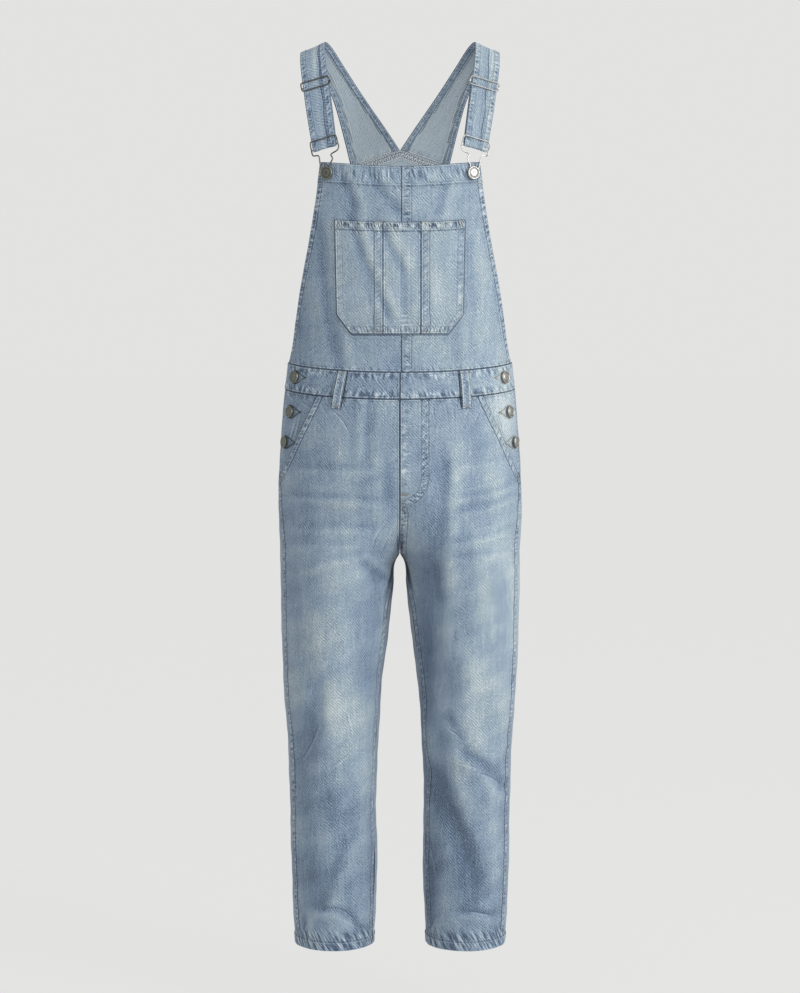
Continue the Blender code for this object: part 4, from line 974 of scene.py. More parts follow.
def loop_shadows(piece, loop):
    """The painted shadow lines beside a belt loop, darker on its side towards the centre front."""
    out = LOOP_WIDTH / 2 + 0.0010
    sides = [[(x + shift, z) for x, z in ((loop.top_x, -0.4830), (loop.foot_x, -0.5350))]
             for shift in (-out, out)]
    dark = (1.5, 0.9) if loop.top_x > 0 else (0.9, 1.5)
    return [shadow_line(piece, sides[0], 1, dark[0]), shadow_line(piece, sides[1], -1, dark[1])]


LOOP_WIDTH = 0.0122
Loop = namedtuple("Loop", "name face top_x foot_x")
LOOPS = [
    Loop("belt_loop_front_right", FRONT, -0.0834, -0.0934),
    Loop("belt_loop_front_left", FRONT, 0.0927, 0.0967),
    Loop("belt_loop_back_right", BACK, -0.0900, -0.0930),
    Loop("belt_loop_back_centre", BACK, 0.0, 0.0),
    Loop("belt_loop_back_left", BACK, 0.0900, 0.0930),
]
FLY_OUTER = [(0.0417, -0.5285), (0.0417, -0.6380), (0.0404, -0.6500), (0.0345, -0.6640),
             (0.0240, -0.6740), (0.0120, -0.6805), (0.0030, -0.6835)]
FLY_INNER = [(0.0318, -0.5275), (0.0318, -0.6330), (0.0306, -0.6440), (0.0262, -0.6550),
             (0.0180, -0.6635), (0.0100, -0.6690), (0.0030, -0.6715)]
FLY_FOOT_Z = -0.6900
FLY_TACK = [(0.0015, -0.6618), (0.0124, -0.6618)]
FLY_FOOT = [(0.0022, -0.6640), (0.0022, -0.7020)]
SLATE, TAN = [], []

leg_columns = dense_ends(84, 0.55)
leg_z = leg_rows()
hem_raise = np.where(leg_z < HEM_Z + HEM_HEIGHT + 0.0003, HEM_RAISE, 0.0)
in_hem = (hem_raise > 0.0) + np.zeros(len(leg_columns))
below_fork = leg_z < FORK_Z
for side, hand in SIDES:
    start = slant_turn(leg_z) - side_gap(leg_z)
    end = np.where(below_fork, side_gap(leg_z), 0.0) - inner_turn(leg_z)
    turn, z, from_side, from_inside = leg_grid(side, start, end)
    fell = np.where(leg_z < SLANT_FOOT.z, FELL_WIDTH, MOUTH_WIDTH)
    lift = strip(from_side, fell, FELL_RAISE) + hem_raise
    if side > 0:
        lift = lift + np.where(below_fork, strip(from_inside, 0.0100, 0.0005), 0.0)
        lift = lift + np.where(below_fork, 0.0, strip(from_inside, 0.0034, 0.0004))
    piece = wall(side, turn, z, lift, plumb=LEG_PLUMB)
    share_foot = float(np.searchsorted(-leg_z[:, 0], -SLANT_FOOT.z)) / len(leg_z)
    share_fly, share_fork = np.searchsorted(-leg_z[:, 0], (-FLY_FOOT_Z, -FORK_Z)) / len(leg_z)
    edge, mouth = line_down(piece, 0.0, share_foot, 0.999), line_down(piece, 0.0, 0.0, share_foot)
    inseam = line_down(piece, LAST, share_fork, 0.999)
    centre = line_down(piece, LAST if side > 0 else -0.0009, 0.0, share_fork)
    seams = [
        flat_seam(piece, edge, 0.0070, 0.0070, 0.80, FELL_WIDTH, 0.9, far=0.8),
        flat_seam(piece, mouth, 0.0050, 0.0042, 0.85, MOUTH_WIDTH, 0.9, slant=0.6, far=0.7),
        flat_seam(piece, inseam, 0.0050, 0.0055, 0.62, 0.0100, far=0.8),
        flat_seam(piece, centre, 0.0060, 0.0070, 0.55 if side > 0 else 0.10, 1.0, 1.5, slant=0.0, edge=1.3),
        hem_seam(piece, side),
        seam_across(piece, 0.0, 0.0010, 0.0090, 0.40, 1.0, 1.6),
    ] + loop_shadows(piece, LOOPS[side > 0])
    sew_rows(SLATE, piece, line_down, (0.0018, 0.0080), 0.004, share_foot)
    sew_rows(SLATE, piece, line_down, (0.0016, 0.0105), share_foot + 0.004, 0.983)
    sew_rows(SLATE, piece, line_down, (-0.0016, -0.0086), share_fork + 0.012, 0.983)
    sew_rows(SLATE, piece, line_across, (-HEM_HEIGHT + HEM_ROW,), 0.004, 0.996, 300)
    if side > 0:
        SLATE.append(sew(piece, line_down(piece, -0.0020, 0.010, share_fork - 0.08)))
        SLATE += [front_row(FLY_OUTER, 0.0002), front_row(FLY_INNER, 0.0002)]
        TAN.append(tack(FLY_TACK, 0.0003, 0.00085, 0.0030))
        SLATE.append(front_row(FLY_FOOT, 0.0004))
        x, z_fly = (np.array(FLY_OUTER).T + np.array(FLY_INNER).T) / 2
        centre_u = np.interp(z_fly, leg_z[::-1, 0], piece.flat[::-1, -1, 0])
        fly = np.stack([centre_u + x, z_fly], -1)
        seams.append(Seam(fly, 0.0050, 0.0056, 0.85, 0.0103, 1.00, 0.0075, 0.5, far=0.35, within=0.0050))
        rise = line_down(piece, LAST, share_fly, share_fork)
        seams.append(flat_seam(piece, rise, 0.0060, 0.0055, 0.85, 0.0125, 0.9, 0.0060, 0.2, far=0.5))
    # Painted shade: by_fork darkens the inside of the leg at the fork, where the legs shade each other, and
    # over_fork darkens a strip beside the centre seam just above the fork
    by_fork = bell(leg_z, -0.7750, 0.0300) * below_fork * ease((0.0270 - from_inside) / 0.0090)
    over_fork = bell(leg_z, -0.7420, 0.0160) * ease((0.0095 - from_inside) / 0.0050)
    wear = wear_and_painted_light_at(piece.outer, turn) - FORK_SHADE * by_fork - (0.80 if side > 0 else 0.55) * over_fork
    shell(f"front_leg_{hand}", piece, turn, seams, wear, in_hem)

    start = side_turn(leg_z) + side_gap(leg_z)
    end = np.where(below_fork, 2 * math.pi - inner_turn(leg_z) - side_gap(leg_z), inner_turn(leg_z))
    turn, z, from_side, from_inside = leg_grid(side, start, end)
    lift = hem_raise + (np.where(below_fork, 0.0, strip(from_inside, 0.0095, 0.0005)) if side > 0 else 0.0)
    piece = wall(side, turn, z, lift, plumb=LEG_PLUMB)
    seams = [
        seam_down(piece, 0.0, 0.0, 0.0060, 0.40),
        flat_seam(piece, line_down(piece, LAST, share_fork, 0.999), 0.0, 0.0060, 0.40),
        flat_seam(piece, line_down(piece, LAST, 0.0, share_fork), 0.0050, 0.0055, 0.65, 0.0095),
        hem_seam(piece, side),
        seam_across(piece, 0.0, 0.0010, 0.0080, 0.40, 1.0, 1.6),
    ]
    sew_rows(SLATE, piece, line_across, (-HEM_HEIGHT + HEM_ROW,), 0.004, 0.996, 300)
    if side > 0:
        sew_rows(SLATE, piece, line_down, (-0.0018, -0.0080), 0.006, share_fork - 0.004)
    # Painted shade on the back leg's inside at the fork, seen in the gap between the legs
    shaded = bell(leg_z, -0.7880, 0.0330) * ease(1.0 - from_inside / 0.0300)
    wear = wear_and_painted_light_at(piece.outer, turn) - FORK_SHADE * shaded
    shell(f"back_leg_{hand}", piece, turn, seams, wear, in_hem)
threads("leg_sewing", SLATE, SLATE_THREAD)
threads("fly_bartacks", TAN, TAN_THREAD)

# Hip pieces: the pocket's back with the button flap of the side opening. It is level with the
# cloth at the side and dives under the pocket's slanted mouth, where it is lined by the pocket.
POCKET_UNDERLAP = 0.016
HIP_PIECE_GAP = 0.0009
HIP_PIECE_TAIL = 0.007
HIP_PIECE_LEAST, HIP_PIECE_SLOPE = 0.055, 0.035
BUTTON_SPOTS = [(0.1532, -0.4930), (0.1622, -0.5440), (0.1704, -0.5893)]
FLAP_EDGE, FLAP_ROWS = [(0.1463, -0.5480), (0.1577, -0.5900)], (0.0, 0.0032)
FLAP_END = [(0.1455, -0.5360), (0.1335, -0.5388)]
HOLE_HALF = [(0.0160, 0.0), (0.0122, 0.0010), (0.0086, 0.0034), (0.0050, 0.0068), (0.0004, 0.0094),
             (-0.0050, 0.0085), (-0.0088, 0.0050), (-0.0100, 0.0)]


def buttonhole(side, x, z, lift):
    """Ends of the close stitches round a drop-shaped buttonhole: a round eye about the button's
    shank that draws out to a point towards the centre front."""
    path = np.array(HOLE_HALF + [(a, -b) for a, b in reversed(HOLE_HALF[:-1])])
    corners = np.stack([side * (x - path[:, 0]), z + path[:, 1]], -1)
    return bars(*front_points(corners, lift, 220), 0.00075, 0.0016)


first_z, foot_z = BAND_TOP_Z - BAND_HEIGHT - SEAM_GAP, SLANT_FOOT.z
hip_z = np.append(np.linspace(first_z, foot_z, 70), np.linspace(foot_z, foot_z - HIP_PIECE_TAIL, 6)[1:])
hip_z = hip_z[:, None]
hip_step = (first_z - foot_z) / 9
hip_columns = np.linspace(0.0, 1.0, 26)
hip_tail = ease((foot_z + hip_step - hip_z) / (2 * hip_step))
SLATE, TAN, BROWN = [], [], []
for side, hand in SIDES:
    seam = math.radians(SIDE_SEAM_TURN) - side_gap(hip_z)
    under = np.minimum(slant_turn(hip_z), seam - HIP_PIECE_LEAST)
    sunk_from = under + HIP_PIECE_SLOPE
    reach = POCKET_UNDERLAP / smooth(hip_z, FORM, "half_width")
    turn = np.hstack([seam + hip_columns * (sunk_from - seam), under - reach * np.linspace(0.1, 1.0, 6)])
    level = np.ones((len(hip_z), 6))
    sunk = np.hstack([np.maximum(ease(hip_columns + 0.0 * hip_z), hip_tail), level])
    drop = -(DENIM + HIP_PIECE_GAP) * sunk
    z = hung(hip_z, turn)
    piece = lay(cloth(side, turn, z, drop), cloth(side, turn, z, drop - DENIM))
    seams = [
        seam_down(piece, 0.0, 0.0040, 0.0055, 0.60),
        seam_across(piece, 0.0, 0.0020, 0.0080, 0.50, 1.0, 1.4),
    ]
    sew_rows(SLATE, piece, line_down, (0.0020, 0.0075), 0.01, 0.93)
    for row in FLAP_ROWS:
        SLATE.append(front_row([(side * (x - row), z_row) for x, z_row in FLAP_EDGE], -0.0016))
    SLATE.append(front_row([(side * x, z_row) for x, z_row in FLAP_END], -0.0020))
    for x, z_spot in BUTTON_SPOTS[1:]:
        (BROWN if side < 0 else TAN).append(buttonhole(side, x, z_spot, -0.0008))
    # Painted shade: the right hip piece, away from the lamp, is darker
    wear = wear_and_painted_light_at(piece.outer, turn) - (0.10 if side < 0 else 0.0)
    shell(f"hip_piece_{hand}", piece, turn, seams, wear)
threads("hip_sewing", SLATE, SLATE_THREAD)
threads("hip_buttonholes_right", BROWN, BROWN_THREAD)
threads("hip_buttonholes_left", TAN, TAN_THREAD)

# Waistband: doubled denim in two fronts and a back, sewn along both edges through all layers, so
# that both edges are drawn into short upright puckers. The back piece is cut with its own grain.
BAND_DENIM, BAND_RAISE = 0.0026, 0.0008
BAND_HALF_WIDTH, BAND_DEPTH = 0.1668, 0.0940
EDGE_ROLL, EDGE_ROUND = 0.0007, 0.0020


def roll(distance):
    """How far a folded edge turns in: a quarter round that ends EDGE_ROUND from the edge."""
    t = np.clip(1 - distance / EDGE_ROUND, 0.0, 1.0)
    return EDGE_ROLL * (1 - np.sqrt(1 - t**2 * 0.999))


SLATE, TAN, BROWN = [], [], []
band_down = (SEAM_GAP / 2 + dense_ends(30) * (BAND_HEIGHT - SEAM_GAP))[:, None]
band_fold = roll(band_down) + roll(BAND_HEIGHT - band_down)
band_seam = math.radians(SIDE_SEAM_TURN)
band_gap = SEAM_GAP / 2 / BAND_DEPTH
for side, hand in SIDES:
    middle = SEAM_GAP / 2 / BAND_HALF_WIDTH - math.pi / 2
    turn = np.linspace(band_seam - band_gap, middle, 128) + 0.0 * band_down
    z = band_z(turn, band_down)
    from_side = run_length(cloth(side, turn, z), 1)
    outer = cloth(side, turn, z, BAND_RAISE - band_fold - roll(from_side[:, -1:] - from_side))
    piece = lay(outer, cloth(side, turn, z, BAND_RAISE - BAND_DENIM + band_fold * 0.5))
    seams = [
        seam_across(piece, 0.0, 0.0045, 0.0070, 0.95, 1.0, 1.5, slant=0.1),
        seam_across(piece, LAST, 0.0045, 0.0075, 1.10, 1.0, 1.5, slant=0.1),
        seam_down(piece, LAST, 0.0015, 0.0040, 0.45),
    ] + loop_shadows(piece, LOOPS[side > 0])
    sew_rows(SLATE, piece, line_across, (0.0028, -0.0026), 0.004, 0.997, 300)
    SLATE.append(sew(piece, line_down(piece, -0.0022, 0.08, 0.92)))
    (BROWN if side < 0 else TAN).append(buttonhole(side, *BUTTON_SPOTS[0], BAND_RAISE + 0.0001))
    # Painted light and shade: the left front, facing the lamp, is lighter and the right darker
    wear = wear_and_painted_light_at(outer, turn) + (-0.09 if side < 0 else 0.02)
    shell(f"waistband_front_{hand}", piece, turn, seams, wear)
half = np.linspace(band_seam + band_gap, math.pi / 2, 130) + 0.0 * band_down
z = band_z(half, band_down)
around = []
for lift in (BAND_RAISE - band_fold, BAND_RAISE - BAND_DENIM + band_fold * 0.5):
    left = cloth(1, half, z, lift)
    left[:, -1, 0] = 0.0
    around.append(np.concatenate([left, left[:, -2::-1] * np.array([-1.0, 1.0, 1.0])], 1))
piece = lay(*around, grain=0.5)
seams = [
    seam_across(piece, 0.0, 0.0045, 0.0065, 0.80, 1.0, 1.5, slant=0.1),
    seam_across(piece, LAST, 0.0045, 0.0070, 0.90, 1.0, 1.5, slant=0.1),
]
sew_rows(SLATE, piece, line_across, (0.0028, -0.0026), 0.003, 0.997, 600)
back_turn = np.concatenate([half, half[:, -2::-1]], 1)
shell("waistband_back", piece, back_turn, seams, wear_and_painted_light_at(piece.outer, back_turn))
threads("waistband_sewing", SLATE, SLATE_THREAD)
threads("waistband_buttonhole_right", BROWN, BROWN_THREAD)
threads("waistband_buttonhole_left", TAN, TAN_THREAD)

# Bib: two halves joined by a felled seam down the centre, with narrow hems up the sides and a
# deep hem along the top, whose weight and sewing draw it into slanting puckers.
BIB_TOP_Z, BIB_SAG = -0.1798, 0.0070
BIB_HEM_HEIGHT, BIB_HEM_RAISE = 0.0290, 0.0007
BIB_SIDE_HEM, CENTRE_FELL_FROM, CENTRE_FELL_WIDTH = 0.0085, 0.0170, 0.0145
BIB_TACK, TACK_PITCH = [(0.1120, -0.2100), (0.1195, -0.2112)], 0.0008
POCKET_SHADOW = [(0.0, -0.4300), (0.0704, -0.4300), (0.0926, -0.4008), (0.0948, -0.2640)]
BIB_EDGE = table(Edge, (
    (-4715, 1655), (-4530, 1609), (-4090, 1545), (-3650, 1476), (-3210, 1391), (-2770, 1306),
    (-2340, 1232), (-1780, 1157),
))
CREASES += table(Crease, (
    (-200, -3983, -726, -2635, 44, 58, 75, 18, 7000), (-667, -2500, -857, -2006, 0, 56, 82, 19, 7000),
    (-10, -2530, -404, -2036, 30, 64, 90, 17, 7000), (-25, -3294, -244, -2785, 15, 52, 74, 15, 6000),
    (-988, -4521, -1164, -2785, 30, 75, 95, 16, 6000), (545, -2500, 691, -1977, 0, 52, 74, 13, 6000),
    (63, -3923, 19, -3174, 0, 59, 74, 8, 6000), (340, -3773, 311, -2935, 0, 59, 74, 8, 6000),
    (-872, -4851, -901, -4252, 0, 59, 74, 9, 6000), (-361, -4132, -492, -3593, 0, 44, 59, 10, 6000),
    (1026, -4492, 983, -2994, -30, 59, 89, 7, 6000), (807, -4731, 764, -4312, 0, 59, 89, 7, 6000),
), FRONT)
FADES_AND_PAINTED_LIGHT += table(Fade, (
    (-1470, -4417, 117, 750, 1000, -1600), (1202, -3743, 204, 1200, -1000, 700),
    (588, -3743, 204, 360, 0, 1000), (-434, -3743, 263, 300, 0, 600), (77, -2994, 146, 300, 0, 500),
    (-769, -3294, 88, 600, 0, 400), (588, -4417, 730, 180, 0, 500), (-580, -4417, 584, 210, 0, -200),
    (-215, -1827, 175, 180, 0, -200), (121, -2021, 58, 450, 0, -1000),
), FRONT)
SLATE, TAN = [], []
bib_hem = BIB_HEM_HEIGHT / (BIB_TOP_Z - BAND_TOP_Z)
bib_rows = np.concatenate([
    np.linspace(0.0, bib_hem, 22), np.linspace(bib_hem + 0.0022, 1.0, 128),
])[:, None]
bib_level = BIB_TOP_Z + bib_rows * (BAND_TOP_Z - BIB_TOP_Z)
bib_edge = smooth(bib_level, BIB_EDGE, "half_width")
for side, hand in SIDES:
    x = SEAM_GAP / 2 + dense_ends(84, 0.5) * (bib_edge - SEAM_GAP / 2)
    across = x / bib_edge
    top = BIB_TOP_Z - BIB_SAG * (1 - across**2) ** 1.5
    foot = band_z(-turn_at(x, BAND_TOP_Z), -SEAM_GAP / 2)
    z = top + bib_rows * (foot - top)
    hem = np.where(bib_rows < bib_hem + 0.0005, BIB_HEM_RAISE, 0.0) - roll(top - z)
    lift = hem + strip(bib_edge - x, BIB_SIDE_HEM, 0.0005) - roll(bib_edge - x)
    if side > 0:
        fell = strip(CENTRE_FELL_FROM - x, CENTRE_FELL_WIDTH, 0.0004)
        lift = lift + np.where(x < CENTRE_FELL_FROM, fell, 0.0)
    turn = -turn_at(x, z)
    piece = wall(side, turn, z, lift)
    seams = [
        seam_across(piece, 0.0, 0.0130, 0.0115, 0.75, 1.0, 0.90, 0.026, 0.16 + 0.10 * side),
        seam_across(piece, BIB_HEM_HEIGHT, 0.0010, 0.0030, 0.45, 1.0, 1.2, edge=0.35, hand=side),
        # Painted shadow of the chest pocket's edge on the bib, stronger on the right, away from the lamp
        shadow_line(piece, [(side * a, b) for a, b in POCKET_SHADOW], side, 0.9 if side < 0 else 0.6),
        seam_down(piece, LAST, 0.0040, 0.0050, 1.00, 0.0085, far=0.6),
        seam_across(piece, LAST, 0.0010, 0.0070, 0.50, 1.0, 1.3),
    ]
    if side > 0:
        seams.append(seam_down(piece, 0.0020, 0.0085, 0.0048, 0.80, 0.0148, 1.1, slant=0.0, far=0.5, hand=1))
    sew_rows(SLATE, piece, line_across, (0.0024, BIB_HEM_HEIGHT - HEM_ROW), 0.005, 0.99, 300)
    sew_rows(SLATE, piece, line_down, (-0.0070,), 0.10, 0.995, 300)
    if side > 0:
        sew_rows(SLATE, piece, line_down, (0.0040, 0.0155), 0.10, 0.99, 300)
    at_side = [(side * a, b) for a, b in BIB_TACK]
    (SLATE if side < 0 else TAN).append(tack(at_side, 0.0006, TACK_PITCH, 0.0022))
    # Painted light: the left half, facing the lamp, is lighter
    wear = wear_and_painted_light_at(piece.outer, turn) + (0.0 if side < 0 else 0.05)
    in_hem = (bib_rows < bib_hem) + 0.0 * x
    shell(f"bib_{hand}", piece, turn, seams, wear, in_hem)
threads("bib_sewing", SLATE, SLATE_THREAD)
threads("bib_tacks", TAN, TAN_THREAD)

# Chest pocket: one patch in three pieces with felled seams between them, hemmed along its top,
# its edges turned under and sewn to the bib in two rows with bartacks at every corner.
POCKET_EDGE = [Edge(-0.4285, 0.0700), Edge(-0.4000, 0.0916), Edge(-0.2630, 0.0938)]
POCKET_SAG = 0.0040
POCKET_SEAMS = (-0.0245, 0.0300)
POCKET_FELL = 0.0125
POCKET_HEM = 0.0135
CORNER_TACK, FELL_TACKS_Z = [(-0.0893, -0.2650), (-0.0893, -0.2730)], (-0.2668, -0.4240)
LAYER_GAP = 0.0005
SLATE, TAN = [], []
pocket_low, pocket_turn, pocket_top = (row.z for row in POCKET_EDGE)
pocket_z = np.concatenate([
    np.linspace(pocket_top, pocket_top - POCKET_HEM, 11),
    np.linspace(pocket_top - POCKET_HEM - 0.0006, pocket_turn, 74),
    np.linspace(pocket_turn, pocket_low, 22)[1:],
])[:, None]
pocket_reach = np.interp(pocket_z, [row.z for row in POCKET_EDGE], [row.half_width for row in POCKET_EDGE])
first, second = POCKET_SEAMS


def pocket_lift(x, z, reach):
    """Rise over the bib: edges rolled under, a raised hem, and a raised strip by each felled seam."""
    from_top, from_foot = pocket_top - z, z - pocket_low
    from_side = (reach - np.abs(x)) * np.where(z < pocket_turn, 0.72, 1.0)
    lift = np.where(from_top < POCKET_HEM + 0.0003, 0.0005, 0.0)
    lift = lift - roll(from_top) - roll(from_foot) - roll(from_side)
    lift = lift + 0.0004 * ease((first + 0.0004 - x) / 0.0004) * ease((x - first + POCKET_FELL) / 0.0012)
    return lift + 0.0004 * ease((x - second + 0.0004) / 0.0004) * ease((second + POCKET_FELL - x) / 0.0012)


for hand, x0, x1, columns in (
    ("right", -1.0, first - SEAM_GAP / 2, 52), ("centre", first + SEAM_GAP / 2, second - SEAM_GAP / 2, 38),
    ("left", second + SEAM_GAP / 2, 1.0, 48),
):
    low_x, high_x = np.maximum(x0, -pocket_reach), np.minimum(x1, pocket_reach)
    x = low_x + dense_ends(columns, 0.5) * (high_x - low_x)
    hang = (pocket_z - pocket_low) / (pocket_top - pocket_low)
    z = pocket_z - POCKET_SAG * (1 - (x / POCKET_EDGE[2].half_width) ** 2) * hang
    lift = LAYER_GAP + DENIM + pocket_lift(x, pocket_z + 0.0 * x, pocket_reach)
    side = np.where(x < 0, -1.0, 1.0)
    turn = -turn_at(x, z)
    piece = wall(side, turn, z, lift, LAYER_GAP, 0.5)
    seams = [
        seam_across(piece, 0.0, 0.0060, 0.0056, 1.9, POCKET_HEM, 0.55, 0.010, 0.3, far=0.5),
        seam_across(piece, LAST, 0.0058, 0.0048, 1.20, 0.0105, 0.85, 0.016, 0.0, far=0.2),
    ]
    sew_rows(SLATE, piece, line_across, (0.0022, POCKET_HEM - 0.0016), 0.02, 0.98)
    sew_rows(SLATE, piece, line_across, (-0.0018, -0.0088), 0.03, 0.97)
    if hand != "centre":
        right = hand == "right"
        edge, seam_side, sign, faint = (0.0, LAST, 1.0, 0.30) if right else (LAST, 0.0, -1.0, 0.45)
        beside_fell = first if right else second
        seams.append(seam_down(piece, edge, 0.0055, 0.0050, faint, 0.0105, 1.1, far=0.25))
        seams.append(seam_down(piece, seam_side, 0.0070, 0.0055, 0.42, POCKET_FELL, 0.8, slant=0.8, far=0.5))
        sew_rows(SLATE, piece, line_down, (sign * 0.0018, sign * 0.0088), 0.01, 0.98, 300)
        sew_rows(SLATE, piece, line_down, (-sign * 0.0018, -sign * 0.0108), 0.01, 0.99, 300)
        at_corner = [(sign * x_tack, z_tack) for x_tack, z_tack in CORNER_TACK]
        TAN.append(tack(at_corner, 0.0026, TACK_PITCH, 0.0024))
        middle = beside_fell - sign * 0.0062
        for z_tack in FELL_TACKS_Z:
            ends = [(middle - 0.0050, z_tack), (middle + 0.0050, z_tack)]
            TAN.append(tack(ends, 0.0028, TACK_PITCH, 0.0018))
    else:
        seams += [seam_down(piece, at, 0.0005, 0.0030, 0.30, edge=0.8) for at in (0.0, LAST)]
    # The right piece, away from the lamp, is a little darker than the others: painted shade
    wear = wear_and_painted_light_at(piece.outer, turn) + (0.10 if hand == "right" else 0.12)
    if hand != "centre":
        over = sign * (beside_fell - x)
        in_fell = ease(over / 0.0012 + 0.5) * ease((POCKET_FELL - over) / 0.0012 + 0.5)
        wear = wear + 0.34 * in_fell * ease((POCKET_HEM + pocket_z - pocket_top) / 0.0030 + 0.5)
    shell(f"chest_pocket_{hand}", piece, turn, seams, wear)
threads("pocket_sewing", SLATE, SLATE_THREAD)
threads("pocket_tacks", TAN, TAN_THREAD)

# Back panel: one piece with a peaked top under the straps, as wide as the waistband at its foot.
# Inside, a facing under the peak is overlocked along its edge.
PEAK_Z, PEAK_SLOPE, BACK_MIDDLE = -0.1520, 0.353, 50
BACK_EDGE = table(Edge, (
    (-4715, 1655), (-4400, 1520), (-3900, 1270), (-3300, 1010), (-2700, 840), (-2200, 765),
    (-1780, 745),
))
CREASES += table(Crease, (
    (-300, -2300, -600, -3400, 60, 140, 180, 20), (350, -2500, 560, -3500, -60, 140, 180, 18),
    (-500, -4300, 450, -4400, 60, 100, 140, 16), (600, -4000, 1200, -4350, 40, 100, 140, 16),
    (-700, -3900, -1250, -4350, 40, 100, 140, 16),
), BACK)
back_rows = np.linspace(0.0, 1.0, 120)[:, None]
peak_rise = PEAK_SLOPE * BACK_EDGE[-1].half_width
back_across = 2 * dense_ends(2 * BACK_MIDDLE + 1, 0.4) - 1
back_top = PEAK_Z - SEAM_GAP - peak_rise
back_level = back_top + back_rows * (BAND_TOP_Z + SEAM_GAP / 2 - back_top)
back_edge = smooth(back_level, BACK_EDGE, "half_width")
back_z = back_level + (1 - back_rows) ** 3 * peak_rise * (1 - np.abs(back_across))
back_side = np.where(back_across < 0, -1.0, 1.0)
back_turn = turn_at(back_across * back_edge, back_z)
from_arm = (1 - np.abs(back_across)) * back_edge
grids = []
for lift in (strip(from_arm, 0.0085, 0.0005) - roll(from_arm), -DENIM):
    grid = cloth(back_side, back_turn, back_z, lift)
    grid[:, BACK_MIDDLE, 0] = 0.0
    grids.append(grid)
piece = lay(*grids, grain=0.5)
seams = [
    seam_across(piece, 0.0, 0.0050, 0.0060, 0.70, 0.0100, far=0.6),
    seam_across(piece, 0.0032, 0.0, 0.0010, 0.0, edge=0.8),
    *(seam_down(piece, at, 0.0040, 0.0045, 0.60, 0.0085) for at in (0.0, LAST)),
    seam_across(piece, LAST, 0.0010, 0.0070, 0.50, 1.0, 1.3),
]
SLATE = []
sew_rows(SLATE, piece, line_down, (0.0070, -0.0070), 0.01, 0.995, 300)
sew_rows(SLATE, piece, line_across, (0.0020, 0.0085), 0.01, 0.99, 300)
inside = wrong_side(piece)
OVERLOCK, UNDER = [], []
for kept, start, depth in ((OVERLOCK, 0.030, 0.0068), (UNDER, 0.041, 0.0060)):
    kept.append(bars(*on_line(inside, line_across(inside, 0.0066, start, 0.97, 400)), 0.0034, depth))
for distance in (0.0016, 0.0106):
    OVERLOCK.append(sew(inside, line_across(inside, distance, 0.03, 0.97, 400), 0.0036))
wear = wear_and_painted_light_at(piece.outer, back_turn) + 0.05
shell("back_panel", piece, back_turn, seams, wear)
threads("back_sewing", SLATE, SLATE_THREAD)
threads("back_overlock", OVERLOCK, PALE_THREAD, 0.00060)
threads("back_overlock_under", UNDER, DARK_THREAD, 0.00060)

# Belt loops: strips folded in three with twin rows down the middle, turned under at both ends
# and bartacked, one in front of each hip and three behind.
LOOP_THICK, LOOP_RISE, LOOP_LENGTH = 0.0018, 0.0020, 0.0575
LOOP_TOP_OVER, LOOP_FOOT_BELOW = 0.0010, 0.0162
SLATE, TAN = [], []
loop_down = dense_ends(50, 0.5)[:, None]
loop_across = (dense_ends(20, 0.5) - 0.5) * LOOP_WIDTH
for loop in LOOPS:
    x = loop.top_x + loop_down * (loop.foot_x - loop.top_x) + loop_across
    turn = turn_at(x, BAND_TOP_Z) * loop.face
    top, foot = band_z(turn, LOOP_TOP_OVER), band_z(turn, BAND_HEIGHT + LOOP_FOOT_BELOW)
    z = top + loop_down * (foot - top)
    side = np.where(x < 0, -1.0, 1.0)
    turn = turn_at(x, z) * loop.face
    lift = BAND_RAISE + LAYER_GAP + LOOP_RISE * np.sin(math.pi * loop_down) ** 0.5 + 0.0 * x
    past_end = np.minimum(loop_down, 1 - loop_down) * LOOP_LENGTH
    thick = LOOP_THICK + 0.0004 * ease((past_end - 0.0070) / 0.002) - 0.0003
    from_edge = LOOP_WIDTH / 2 - np.abs(loop_across)
    thick = thick - 0.0004 * bell(loop_across, 0.0, 0.0022) - roll(from_edge)
    piece = lay(cloth(side, turn, z, lift + thick), cloth(side, turn, z, lift), grain=0.5)
    seams = [
        seam_down(piece, at, 0.0040, 0.0026, 0.60, 1.0, 0.8, slant=0.0, edge=dark)
        for at, dark in ((0.0, 0.50), (LAST, 0.80))
    ]
    sew_rows(SLATE, piece, line_down, (0.0042, -0.0042), 0.10, 0.90)
    for share in (0.055, 0.905):
        tacked = line_across(piece, share * LOOP_LENGTH, 0.10, 0.90, 30)
        TAN.append(bars(*on_line(piece, tacked), 0.00085, 0.0020))
    wear = PLAIN_WEAR - 0.10 + 0.42 * bell(from_edge, 0.0008, 0.0020) + 0.0 * turn
    upon = "waistband_back" if loop.face > 0 else loop.name.replace("belt_loop", "waistband")
    shell(loop.name, piece, turn, seams, wear)
threads("loop_sewing", SLATE, SLATE_THREAD)
threads("loop_tacks", TAN, TAN_THREAD)

